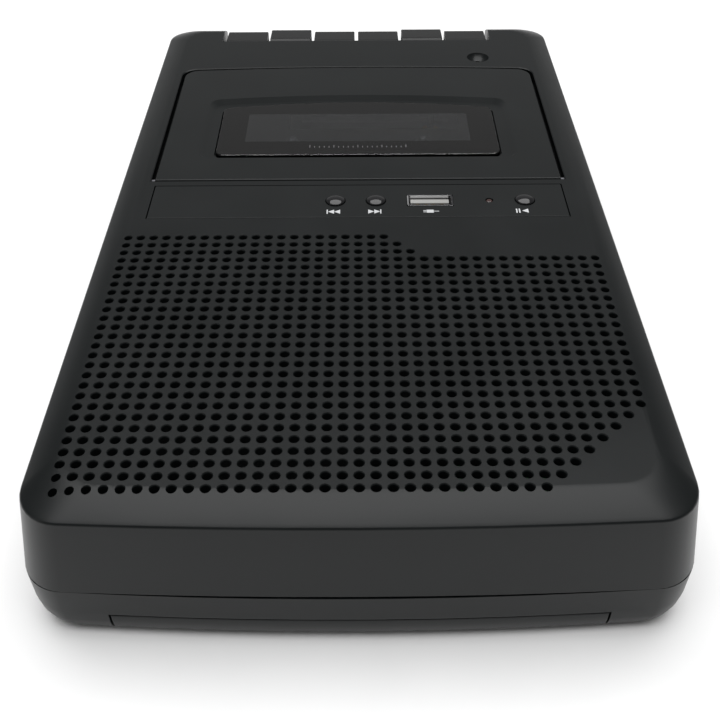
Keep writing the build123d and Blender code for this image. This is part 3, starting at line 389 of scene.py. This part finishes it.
circuit_board = make_board()
window_clear = make_clear("window_clear", (0.50, 0.52, 0.54), (0.58, 0.60, 0.62), 1.0)
light_lens = make_clear("light_lens", (0.060, 0.030, 0.028), (0.085, 0.045, 0.040), 0.4)
window_print = surface(
    "window_print", (0.0045, 0.0045, 0.005), (0.006, 0.006, 0.0065), (0.10, 0.16), 1500, 0.05, 0.00002,
)
silver_ink = surface("silver_ink", (0.50, 0.51, 0.52), (0.62, 0.63, 0.64), (0.38, 0.50), 3000, 0.15, 0.00002)
grey_ink = surface("grey_ink", (0.10, 0.10, 0.105), (0.14, 0.14, 0.145), (0.40, 0.50), 3000, 0.15, 0.00002)
black_ink = surface(
    "black_ink", (0.002, 0.002, 0.002), (0.003, 0.003, 0.003), (0.6, 0.7), 3000, 0.15, 0.00002,
    shine=0.0,
)
print("materials", len(bpy.data.materials))

# %% [markdown]
# ## Every measured node gets a real finish
# Most nodes already have the right shape. A node's mesh is loose triangles, so a copy is merged, its
# flat areas are cleaned into single faces, and its edges are rounded a little, as moulded and stamped
# parts always are: an edge that is perfectly sharp catches no light and looks drawn.

# %% Merged and softened copies
def copy_node(node, name):
    """A merged copy of a measured node, with flat areas cleaned into single faces."""
    source = frame["nodes"][node]
    made = bpy.data.objects.new(name, source.data.copy())
    bpy.context.scene.collection.objects.link(made)
    made.data.materials.clear()
    named(made, name)
    edit(made, "VERT", lambda place: True)
    bpy.ops.mesh.remove_doubles(threshold=0.000002)
    bpy.ops.mesh.select_all(action="SELECT")
    bpy.ops.mesh.dissolve_limited(angle_limit=math.radians(0.4))
    done()
    return made


def paint(obj, material):
    """Give a piece its material."""
    obj.data.materials.clear()
    obj.data.materials.append(material)
    return obj


slot_of = {part["node"]: part["material_slot"] for part in frame["record"]["subparts"]}
body_of = {node: body for body, nodes in frame["record"]["behaviour"]["bodies"].items() for node in nodes}
finish_of = {
    "case_plastic": case_plastic, "door_plastic": door_plastic, "panel_plastic": door_plastic,
    "key_plastic": key_plastic, "button_plastic": gloss_plastic, "window_clear": window_clear,
    "window_print": window_print, "wheel_plastic": key_plastic, "inner_plastic": inner_plastic,
    "spindle_plastic": nylon, "tongue_plastic": white_insulator, "component_plastic": gloss_plastic,
    "light_lens": light_lens, "rubber": rubber, "bright_steel": bright_steel,
    "spring_steel": spring_steel, "sheet_steel": sheet_steel, "screw_steel": dark_steel,
    "magnet_iron": ferrite, "flywheel_metal": turned_metal, "head_metal": bright_steel,
    "component_metal": turned_metal, "bearing_brass": brass, "circuit_board": circuit_board,
    "cone_paper": cone_paper, "felt": felt,
}
edge_width = {
    "cassette_door": 0.25, "carry_handle": 0.45, "battery_door": 0.3, "control_panel": 0.12,
    "record_play_head": 0.25, "erase_head": 0.25, "motor": 0.3, "deck_chassis": 0.15,
    "cassette_well": 0.3, "head_carriage": 0.12, "flywheel": 0.25, "supply_spindle": 0.2,
    "take_up_spindle": 0.2, "capstan_bearing": 0.2, "pinch_roller": 0.35, "volume_wheel": 0.12,
    "usb_shell": 0.08, "usb_tongue": 0.15, "bottom_case": 0.2, "main_board": 0.1,
    "board_components": 0.3, "tact_switches": 0.15, "speaker_magnet": 0.3, "microphone": 0.3,
    "idler_wheel": 0.25,
}
made_here = {"top_case", "speaker_grille", "bottom_case", "key_springs"}
for node, key_slot in slot_of.items():
    frame["nodes"][node].data.materials.clear()
    frame["nodes"][node].data.materials.append(finish_of[key_slot])
    if node in made_here:
        continue
    finish = dark_steel if node == "door_hinge_pins" else finish_of[key_slot]
    piece = copy_node(node, node + "_finished")
    width = 0.45 if node.endswith("_key") else edge_width.get(node, 0.0)
    if width:
        modify(
            piece, "BEVEL", width=width * MM, segments=2, limit_method="ANGLE",
            angle_limit=math.radians(40), use_clamp_overlap=True,
        )
    smooth(piece)
    paint(piece, finish)
    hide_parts(node)
    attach(piece, body_of[node])
print("finished copies", len(slot_of) - len(made_here))

# %% [markdown]
# ## The upper case
# The upper case is one moulding: straight sides that lean in, a crisp crease, a soft shoulder and a
# flat top. A plan outline is drawn once, with its corners rounded and its near end bowed, and is then
# extruded upwards in steps, each step scaled in a little. The same outline, drawn smaller, hollows it.

# %% Plan outlines, extruded in steps
def plan(name, z, half, low, high, near_bow=0.0, far_bow=0.0, near_radius=0.0, far_radius=0.0, spans=10):
    """A flat face with rounded corners and ends that can bow outwards."""
    bpy.ops.object.select_all(action="DESELECT")
    bpy.ops.mesh.primitive_grid_add(x_subdivisions=spans, y_subdivisions=1, size=2, location=(0, 0, z))
    made = named(settle(bpy.context.object), name)
    for vertex in made.data.vertices:
        across = vertex.co.x
        dip = 1 - across * across
        near = vertex.co.y < 0
        vertex.co.x = across * half
        vertex.co.y = low + near_bow * (1 - dip) if near else high + far_bow * dip
    edit(made, "EDGE", lambda place: True)
    bpy.ops.mesh.select_all(action="SELECT")
    bpy.ops.mesh.dissolve_limited(angle_limit=0.0001, use_dissolve_boundaries=False)
    done()
    for radius, near in ((near_radius, True), (far_radius, False)):
        if radius:
            edge_y = low + near_bow if near else high
            edit(made, "VERT", lambda place: abs(abs(place.x) - half) < 1e-6 and abs(place.y - edge_y) < 1e-6)
            bpy.ops.mesh.bevel(
                affect="VERTICES", offset=radius, offset_type="OFFSET", segments=8, profile=0.5,
            )
            done()
    return made


def raise_plan(made, steps):
    """Extrude the top face through levels: (height, half width, low end, high end)."""
    for height, half, low, high in steps:
        corners = [vertex.co for vertex in made.data.vertices]
        top = max(corner.z for corner in corners)
        ring = [corner for corner in corners if abs(corner.z - top) < 1e-6]
        was_half = max(corner.x for corner in ring)
        was_low = min(corner.y for corner in ring)
        was_high = max(corner.y for corner in ring)
        scale_x = half / was_half
        scale_y = (high - low) / (was_high - was_low)
        anchor = (low - was_low * scale_y) / (1 - scale_y) if abs(1 - scale_y) > 1e-9 else 0.0
        edit(made, "FACE", lambda centre: abs(centre.z - top) < 1e-6)
        bpy.ops.mesh.extrude_region_move(TRANSFORM_OT_translate={"value": (0, 0, height - top)})
        bpy.ops.transform.resize(value=(scale_x, scale_y, 1), center_override=(0, anchor, height))
        done()
    return outward(made)


SIDE_LEAN, NEAR_LEAN, FAR_LEAN = 3.0 * MM, 1.7 * MM, 1.0 * MM
SHOULDER_WIDTH = 8.0 * MM
SHOULDER_CURVE = 1.5


def shoulder(steps):
    """Levels of the soft shoulder, from the crease up to the flat top."""
    levels = []
    for step in range(steps + 1):
        share = step / steps
        drop = (CASE_TOP - CREASE_Z) * (1 - share) ** SHOULDER_CURVE
        side = SIDE_LEAN + SHOULDER_WIDTH * share
        near = NEAR_LEAN + SHOULDER_WIDTH * share
        far = FAR_LEAN + SHOULDER_WIDTH * share
        levels.append((CASE_TOP - drop, HALF_WIDTH - side, NEAR_Y + near, FAR_Y - far))
    return levels


case_shell = plan("upper_case", PARTING_Z, HALF_WIDTH, NEAR_Y, FAR_Y, NEAR_BOW, 0.0, NEAR_RADIUS, FAR_RADIUS)
raise_plan(case_shell, shoulder(8))
edit(case_shell, "EDGE", lambda place: abs(place.z - CREASE_Z) < 1e-6)
bpy.ops.mesh.bevel(offset=0.45 * MM, segments=3, profile=0.5)
done()
edit(case_shell, "EDGE", lambda place: abs(place.z - PARTING_Z) < 1e-6)
bpy.ops.mesh.bevel(offset=0.3 * MM, segments=2, profile=0.5)
done()
envelope = case_shell.copy()
envelope.data = case_shell.data.copy()
named(envelope, "case_envelope")
bpy.context.scene.collection.objects.link(envelope)
hollow = plan("case_hollow", PARTING_Z - MM, HALF_WIDTH - WALL, NEAR_Y + WALL, FAR_Y - WALL, NEAR_BOW, 0.0,
              NEAR_RADIUS - MM, FAR_RADIUS - MM)
raise_plan(hollow, [
    (CREASE_Z - MM, HALF_WIDTH - 5.2 * MM, NEAR_Y + 3.9 * MM, FAR_Y - 3.2 * MM),
    (CASE_TOP - WALL, HALF_WIDTH - 11 * MM, NEAR_Y + 9.7 * MM, FAR_Y - 11.2 * MM),
])
cut(case_shell, hollow)
print("upper case faces", len(case_shell.data.polygons))

# %% [markdown]
# ### Shelf, cheeks and hinge lugs inside the upper case
# The keys stand in a notch with a shelf below and a cheek at each end, and the door's pins turn in two
# lugs under the skin. They are part of the same moulding, so they are joined to it before it is cut.

# %% Shelf, cheeks and lugs
pause_low, pause_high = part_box("pause_key")
record_low, record_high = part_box("record_key")
pins_low, pins_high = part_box("door_hinge_pins")
KEY_GAP = 1.1 * MM
SHELF_Z = 20.5 * MM
notch_x = (pause_low.x - KEY_GAP, record_high.x + KEY_GAP)
notch_back = FAR_Y - 17.2 * MM
hinge_y = (pins_low.y + pins_high.y) / 2
INNER_TOP = CASE_TOP - WALL
inner_parts = [
    box(
        "shelf", (notch_x[0] - WALL, notch_x[1] + WALL), (notch_back - 1.8 * MM, FAR_Y - 1.5 * MM),
        (SHELF_Z - 2 * MM, SHELF_Z),
    ),
    box(
        "left_cheek", (notch_x[0] - WALL, notch_x[0]), (notch_back, FAR_Y - 2 * MM),
        (SHELF_Z - MM, INNER_TOP + MM),
    ),
    box(
        "right_cheek", (notch_x[1], notch_x[1] + WALL), (notch_back, FAR_Y - 2 * MM),
        (SHELF_Z - MM, INNER_TOP + MM),
    ),
    box(
        "left_lug", (pins_low.x, pins_low.x + 4 * MM), (hinge_y - 3 * MM, hinge_y + 3 * MM),
        (INNER_TOP - 2.3 * MM, INNER_TOP + 0.3 * MM),
    ),
    box(
        "right_lug", (pins_high.x - 4 * MM, pins_high.x), (hinge_y - 3 * MM, hinge_y + 3 * MM),
        (INNER_TOP - 2.3 * MM, INNER_TOP + 0.3 * MM),
    ),
]
for part in inner_parts:
    cut(case_shell, part, operation="UNION")
cut(case_shell, envelope, operation="INTERSECT")
print("upper case faces", len(case_shell.data.polygons))

# %% [markdown]
# ### Openings in the upper case
# The door opening is cut with a closed tool that flares at the top, so the cut leaves a small rounded lip,
# as a mould does; it follows the bowed far edge of the door. The other openings are cut with plain boxes and
# cylinders, and a ball makes the dip round the microphone.

# %% Door opening, keys, strip and sockets
def flared_tool(name, z, x, y, lip=0.25 * MM, far_bow=0.0, far_radius=0.0, near_radius=0.0):
    """A cutting tool that widens over its last quarter of a millimetre."""
    half = (x[1] - x[0]) / 2
    middle = (x[0] + x[1]) / 2
    tool = plan(name, z[0], half, y[0], y[1], 0.0, far_bow, near_radius, far_radius)
    raise_plan(tool, [
        (z[1] - lip, half, y[0], y[1] + far_bow),
        (z[1], half + lip, y[0] - lip, y[1] + far_bow + lip),
        (z[1] + MM, half + lip, y[0] - lip, y[1] + far_bow + lip),
    ])
    tool.location.x = middle
    return settle(tool)


DOOR_BOW = 1.9 * MM
door_half = door_high.x
cut(
    case_shell,
    flared_tool(
        "door_tool", (CASE_TOP - 9 * MM, CASE_TOP), (-door_half - 1.1 * MM, door_half + 1.1 * MM),
        (door_low.y - 0.6 * MM, door_high.y - DOOR_BOW + 0.6 * MM), 0.25 * MM, DOOR_BOW, 5 * MM,
    ),
)
cut(case_shell, box("key_tool", notch_x, (notch_back, FAR_Y + MM), (SHELF_Z, CASE_TOP + MM)))
cut(case_shell, box("strip_tool", (panel_low.x - 0.3 * MM, panel_high.x + 0.3 * MM),
                    (panel_low.y - 0.1 * MM, panel_high.y + 0.3 * MM), (panel_low.z, CASE_TOP + MM)))
for node, gap in (("skip_back_button", -0.75), ("skip_forward_button", -0.75), ("play_pause_button", -0.75),
                  ("status_light", -0.35)):
    low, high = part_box(node)
    radius = (high.x - low.x) / 2 + gap * MM
    cut(
        case_shell,
        drum("hole_tool", ((low.x + high.x) / 2, (low.y + high.y) / 2), radius, (30 * MM, 42 * MM)),
    )
usb_low, usb_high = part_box("usb_shell")
cut(case_shell, box("usb_tool", (usb_low.x - 0.15 * MM, usb_high.x + 0.15 * MM),
                    (usb_low.y - 0.15 * MM, usb_high.y + 0.15 * MM), (30 * MM, 42 * MM)))
mic_low, mic_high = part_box("microphone")
mic_centre = ((mic_low.x + mic_high.x) / 2, (mic_low.y + mic_high.y) / 2)
cut(case_shell, drum("mic_tool", mic_centre, 1.5 * MM, (30 * MM, 42 * MM)))
bpy.ops.object.select_all(action="DESELECT")
bpy.ops.mesh.primitive_uv_sphere_add(segments=48, ring_count=24, radius=4.4 * MM,
                                     location=(*mic_centre, CASE_TOP + 2.0 * MM))
cut(case_shell, settle(bpy.context.object))
wheel_low, wheel_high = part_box("volume_wheel")
wheel_y = (wheel_low.y + wheel_high.y) / 2
cut(case_shell, box("wheel_tool", (-HALF_WIDTH - MM, -60 * MM), (wheel_y - 8.2 * MM, wheel_y + 8.2 * MM),
                    (wheel_low.z - 0.5 * MM, wheel_high.z + 0.5 * MM)))
for node, bore in (("earphone_jack", 1.8), ("microphone_jack", 1.8), ("dc_jack", 2.8)):
    low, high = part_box(node)
    middle = (low.y + high.y) / 2
    half = (bore + 1.65) * MM
    cut(case_shell, box("jack_tool", (HALF_WIDTH - 12 * MM, HALF_WIDTH + MM), (middle - half, middle + half),
                        (23 * MM - half, 23 * MM + half)))
print("upper case faces", len(case_shell.data.polygons))

# %% [markdown]
# ### The speaker holes
# There are 926 holes on a 3.5 mm grid, and two corners of the grid are left blank in steps. One
# punch is made with a countersunk rim. Each row is that punch repeated with an Array modifier, the
# rows are joined, and one cut makes all the holes. A hole needs few corners at this size.

# %% Punch the speaker holes
FIELD_COLUMNS, FIELD_ROWS = 37, 27
field_left = -18 * PITCH
field_far = grille_high.y - 2.55 * MM


def row_length(row):
    """How many holes a row has, counted from the left."""
    if row < 3:
        return FIELD_COLUMNS - 16 + row
    if row >= FIELD_ROWS - 7:
        return FIELD_COLUMNS - (row - (FIELD_ROWS - 7) + 1)
    return FIELD_COLUMNS


HOLE_RADIUS = 1.02 * MM
HOLE_CORNERS = 12
PUNCH_DEPTH = 4 * MM


def punch(name, centre):
    """A punch with a countersunk rim."""
    bpy.ops.object.select_all(action="DESELECT")
    bpy.ops.mesh.primitive_circle_add(vertices=HOLE_CORNERS, radius=HOLE_RADIUS, fill_type="NGON",
                                      location=(*centre, CASE_TOP - PUNCH_DEPTH))
    made = named(settle(bpy.context.object), name)
    top = CASE_TOP - PUNCH_DEPTH
    for height, grow in ((CASE_TOP - 0.42 * MM, 1.0), (CASE_TOP - 0.16 * MM, 1.09), (CASE_TOP, 1.26),
                         (CASE_TOP + 0.8 * MM, 1.3)):
        edit(made, "FACE", lambda place: abs(place.z - top) < 1e-6)
        factor = grow * HOLE_RADIUS / max(
            (
                Vector(v.co[:2]) - Vector(centre)
            ).length for v in made.data.vertices if abs(v.co.z - top) < 1e-6
        )
        bpy.ops.mesh.extrude_region_move(TRANSFORM_OT_translate={"value": (0, 0, height - top)})
        bpy.ops.transform.resize(value=(factor, factor, 1), center_override=(*centre, height))
        done()
        top = height
    return outward(made)


rows = []
for row in range(FIELD_ROWS):
    tool = punch("row_tool", (field_left, field_far - row * PITCH))
    modify(tool, "ARRAY", count=row_length(row), use_relative_offset=False, use_constant_offset=True,
           constant_offset_displace=(PITCH, 0, 0))
    rows.append(tool)
holes = join(rows, "hole_tool")
print("holes", sum(row_length(row) for row in range(FIELD_ROWS)))
cut(case_shell, holes)
smooth(case_shell, 30)
paint(case_shell, case_plastic)
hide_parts("top_case", "speaker_grille")
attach(case_shell, "case")
print("upper case faces with holes", len(case_shell.data.polygons))

# %% [markdown]
# ## The lower case
# The lower case is a merged copy of the measured node with its edges rounded a little: the same outline going
# down, nearly straight below the seam, then tucked in to a smaller base. It keeps the measured node's cut for
# the handle and its inside.

# %% Lower case from the measured node
base = copy_node("bottom_case", "lower_case")
modify(base, "BEVEL", width=0.2 * MM, segments=2, limit_method="ANGLE", angle_limit=math.radians(40),
       use_clamp_overlap=True)
smooth(base)
paint(base, case_plastic)
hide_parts("bottom_case")
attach(base, "case")
print("lower case faces", len(base.data.polygons))

# %% [markdown]
# ## Key springs
# Each key is pushed up by a coil around the shaft. A coil is a small circle that turns about the shaft
# while it moves along it, which is just what the Screw modifier does, so one circle gives one spring.

# %% Coil springs
shaft_low, shaft_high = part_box("key_shaft")
spring_low, spring_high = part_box("key_springs")
shaft_y = (shaft_low.y + shaft_high.y) / 2
shaft_z = (shaft_low.z + shaft_high.z) / 2
WIRE = 0.38 * MM
COIL_TURNS = 5
coil_radius = spring_high.z - shaft_z - WIRE
key_pitch = (record_low.x - pause_low.x) / 5
first_gap = (pause_low.x + pause_high.x) / 2 + key_pitch / 2


def make_coil(middle):
    """One coil spring around the key shaft."""
    pitch = 0.95 * MM
    bpy.ops.object.select_all(action="DESELECT")
    bpy.ops.mesh.primitive_circle_add(vertices=8, radius=WIRE, fill_type="NOTHING", location=(0, 0, 0),
                                      rotation=(math.pi / 2, 0, 0))
    coil = named(settle(bpy.context.object), "coil")
    edit(coil, "VERT", lambda place: True)
    bpy.ops.transform.translate(value=(0, 0, coil_radius))
    done()
    modify(
        coil, "SCREW", angle=2 * math.pi, screw_offset=pitch, iterations=COIL_TURNS, steps=24,
        render_steps=24, axis="X", use_merge_vertices=False,
    )
    edit(coil, "VERT", lambda place: True)
    bpy.ops.mesh.fill_holes(sides=0)
    done()
    coil.location = (middle - COIL_TURNS * pitch / 2, shaft_y, shaft_z)
    return outward(settle(coil))


springs = join([make_coil(first_gap + index * key_pitch) for index in range(5)], "coil_springs")
smooth(springs, 60)
paint(springs, spring_steel)
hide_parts("key_springs")
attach(springs, "case")
print("spring faces", len(springs.data.polygons))

# %% [markdown]
# ## Printed marks
# The marks on the strip are silver ink and those on the keys are darker than the key. Ink has almost
# no thickness, so each mark is a very thin prism that stands two hundredths of a millimetre proud. A
# triangle is a thin box with one end squeezed to a point.

# %% Bars, triangles and dots
INK = 0.03 * MM


def bar(x, y, z):
    """A printed bar: middle and size along X and Y, on a surface at z."""
    return box(
        "bar", (x[0] - x[1] / 2, x[0] + x[1] / 2), (y[0] - y[1] / 2, y[0] + y[1] / 2),
        (z - INK, z + INK),
    )


def triangle(x, y, z, towards):
    """A printed triangle whose point is at one side: -1 or 1 along X, or -2 or 2 along Y."""
    made = bar(x, y, z)
    axis = 0 if abs(towards) == 1 else 1
    middle = (x[0], y[0])[axis]
    way = 1 if towards > 0 else -1
    edit(made, "VERT", lambda place: (place[axis] - middle) * way > 0)
    squeeze = (1, 0, 1) if axis == 0 else (0, 1, 1)
    bpy.ops.transform.resize(value=squeeze, center_override=(x[0], y[0], z))
    bpy.ops.mesh.select_all(action="SELECT")
    bpy.ops.mesh.remove_doubles(threshold=0.000001)
    done()
    return outward(made)


def tilt(made, y, slope):
    """Lay a flat mark on a surface that falls away towards +Y."""
    for vertex in made.data.vertices:
        vertex.co.z -= (vertex.co.y - y) * slope
    return made


def print_marks(parts, name, ink, body):
    """Join marks into one printed piece."""
    made = join(parts, name)
    paint(made, ink)
    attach(made, body)
    return made


print("ink thickness mm", INK / MM)

# %% [markdown]
# ### Marks on the control strip
# The strip is read from the key end, so its marks look upside down from the handle end: skipping
# forward points to -X. A small plug stands for the wording beside the USB socket.

# %% Strip marks
STRIP_TOP = panel_high.z
MARK = 2.1 * MM
mark_y = (-10.2 * MM, MARK)
strip_marks = [
    bar((-8.75 * MM, 0.35 * MM), mark_y, STRIP_TOP),
    triangle((-7.65 * MM, 1.7 * MM), mark_y, STRIP_TOP, -1),
    triangle((-5.95 * MM, 1.7 * MM), mark_y, STRIP_TOP, -1),
    bar((6.4 * MM, 0.35 * MM), mark_y, STRIP_TOP),
    triangle((3.7 * MM, 1.7 * MM), mark_y, STRIP_TOP, 1),
    triangle((5.4 * MM, 1.7 * MM), mark_y, STRIP_TOP, 1),
    triangle((47.3 * MM, 1.8 * MM), mark_y, STRIP_TOP, -1),
    bar((45.7 * MM, 0.4 * MM), mark_y, STRIP_TOP),
    bar((44.9 * MM, 0.4 * MM), mark_y, STRIP_TOP),
    bar((20.4 * MM, 2.0 * MM), (-10.2 * MM, 1.5 * MM), STRIP_TOP),
    bar((18.9 * MM, 0.9 * MM), (-10.55 * MM, 0.3 * MM), STRIP_TOP),
    bar((18.9 * MM, 0.9 * MM), (-9.85 * MM, 0.3 * MM), STRIP_TOP),
    bar((22.2 * MM, 1.5 * MM), (-10.2 * MM, 0.25 * MM), STRIP_TOP),
]
print_marks(strip_marks, "strip_marks", silver_ink, "case")
print("strip marks", len(strip_marks))

# %% [markdown]
# ### Marks on the keys
# Each key has its usual sign near the end that is pressed. The top of a key falls away a little
# towards that end, so its sign is tilted to match, and it moves with the key.

# %% Key marks
KEY_SLOPE = 1.0 / 11.6
SIGN = 2.6 * MM


def key_signs(node, make):
    """Print a sign on one key: make(x, y, z) returns its parts."""
    low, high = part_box(node)
    x = (low.x + high.x) / 2
    back = FAR_Y - 16.6 * MM
    y = back + 9.4 * MM
    z = high.z - (y - back) * KEY_SLOPE
    parts = [tilt(part, y, KEY_SLOPE) for part in make(x, y, z)]
    print_marks(parts, node + "_sign", black_ink, node)


def dot(x, y, z):
    """A printed dot."""
    return drum("dot", (x, y), SIGN / 2, (z - INK, z + INK), 24)


key_signs("pause_key", lambda x, y, z: [
    bar((x + side * 0.7 * MM, 0.7 * MM), (y, SIGN), z) for side in (-1, 1)])
key_signs("stop_eject_key", lambda x, y, z: [
    bar((x - 2.2 * MM, 2.2 * MM), (y, 2.2 * MM), z),
    bar((x + 2.2 * MM, 2.8 * MM), (y + 1.0 * MM, 0.5 * MM), z),
    triangle((x + 2.2 * MM, 2.8 * MM), (y - 0.35 * MM, 1.7 * MM), z, -2),
])
key_signs("fast_forward_key", lambda x, y, z: [
    triangle((x + side * 1.1 * MM, 2.1 * MM), (y, SIGN), z, -1) for side in (-1, 1)])
key_signs("rewind_key", lambda x, y, z: [
    triangle((x + side * 1.1 * MM, 2.1 * MM), (y, SIGN), z, 1) for side in (-1, 1)])
key_signs("play_key", lambda x, y, z: [triangle((x, 2.4 * MM), (y, SIGN), z, -1)])
key_signs("record_key", lambda x, y, z: [dot(x, y, z)])
print("key signs 6")

# %% [markdown]
# ### Scale on the window
# The window of such a recorder carries a printed scale to judge how much tape is left. Short ticks
# with a longer one every fifth are enough.

# %% Window scale
LENS_TOP = lens_high.z
TICKS = 21
ticks = []
for index in range(TICKS):
    tall = 1.6 * MM if index % 5 == 0 else 0.9 * MM
    x = (index - (TICKS - 1) / 2) * 1.5 * MM
    ticks.append(bar((x, 0.22 * MM), (27.2 * MM + tall / 2, tall), LENS_TOP))
print_marks(ticks, "window_scale", grey_ink, "tape_door")
print("ticks", len(ticks))

# %% [markdown]
# ## Contacts of the USB socket
# Four gilt blades lie on the white tongue. They are the only warm colour on the recorder. The inside of the
# socket's shell is painted dark steel, as painted shade.

# %% USB contacts
shell = bpy.data.objects["usb_shell_finished"]
# Painted shade: the faces inside the socket's shell get the dark steel finish, which stands for the shade
# deep inside the socket.
shell.data.materials.append(dark_steel)
shell_low, shell_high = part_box("usb_shell")
RIM = 0.45 * MM
for face in shell.data.polygons:
    inside_x = shell_low.x + RIM < face.center.x < shell_high.x - RIM
    inside_y = shell_low.y + RIM < face.center.y < shell_high.y - RIM
    if inside_x and inside_y or (face.center.z < shell_high.z - RIM and abs(face.normal.z) > 0.5):
        face.material_index = 1
tongue_low, tongue_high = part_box("usb_tongue")
tongue_x = (tongue_low.x + tongue_high.x) / 2
blades = [
    box(
        "blade", (tongue_x + place * MM - 0.5 * MM, tongue_x + place * MM + 0.5 * MM),
        (tongue_low.y - 0.08 * MM, tongue_low.y + 0.1 * MM),
        (tongue_high.z - 7 * MM, tongue_high.z - 0.5 * MM),
    ) for place in (-3.5, -1.0, 1.0, 3.5)
]
contacts = join(blades, "usb_contacts")
paint(contacts, brass)
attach(contacts, "case")
print("blades", len(blades))

# %% [markdown]
# ## Floor, light and camera
# The recorder lies on a plain white floor under one large lamp, which makes a soft shadow all round. A
# dim surround keeps the black plastic dark, and a broad faint lamp at the back gives the top its sheen.

# %% Floor
bpy.ops.object.select_all(action="DESELECT")
bpy.ops.mesh.primitive_plane_add(size=6, location=(0, 0, -0.0002))
floor = named(bpy.context.object, "floor")
floor_paint = surface("floor_paint", (0.90, 0.90, 0.90), (0.92, 0.92, 0.92), (0.55, 0.65), 400, 0.05, 0.0001)
floor.data.materials.append(floor_paint)
print("floor ready")

# %% World, lamps and camera
world = bpy.data.worlds.new("studio")
bpy.context.scene.world = world
world.use_nodes = True
world.node_tree.nodes["Background"].inputs["Color"].default_value = (1, 1, 1, 1)
world.node_tree.nodes["Background"].inputs["Strength"].default_value = 0.20


def softbox(name, place, target, size, power):
    """A large square area light aimed at a point."""
    bpy.ops.object.light_add(type="AREA", location=place)
    lamp = bpy.context.object
    lamp.name = name
    lamp.data.size = size
    lamp.data.energy = power
    lamp.rotation_euler = (Vector(target) - Vector(place)).to_track_quat("-Z", "Y").to_euler()
    return lamp


softbox("overhead_light", (0.0, 0.10, 2.2), (0, 0, 0), 2.6, 74.0)
softbox("left_light", (-1.4, -0.7, 0.7), (0, 0, 0.02), 0.5, 1.0)
softbox("back_light", (0.0, 2.2, 1.1), (0, 0, 0.02), 2.8, 3.4)
bpy.context.scene.view_settings.view_transform = "Standard"
bpy.ops.object.camera_add(location=(0.0003, -0.2488, 0.1933))
camera = bpy.context.object
camera.data.sensor_width = 36
camera.data.lens = 49.55
camera.data.clip_start = 0.01
tilt_down, roll = math.radians(48.78), math.radians(-0.31)
camera.rotation_euler = (tilt_down, 0, 0)
camera.rotation_euler.rotate_axis("Z", roll)
bpy.context.scene.camera = camera
print("camera", tuple(round(v, 3) for v in camera.location))
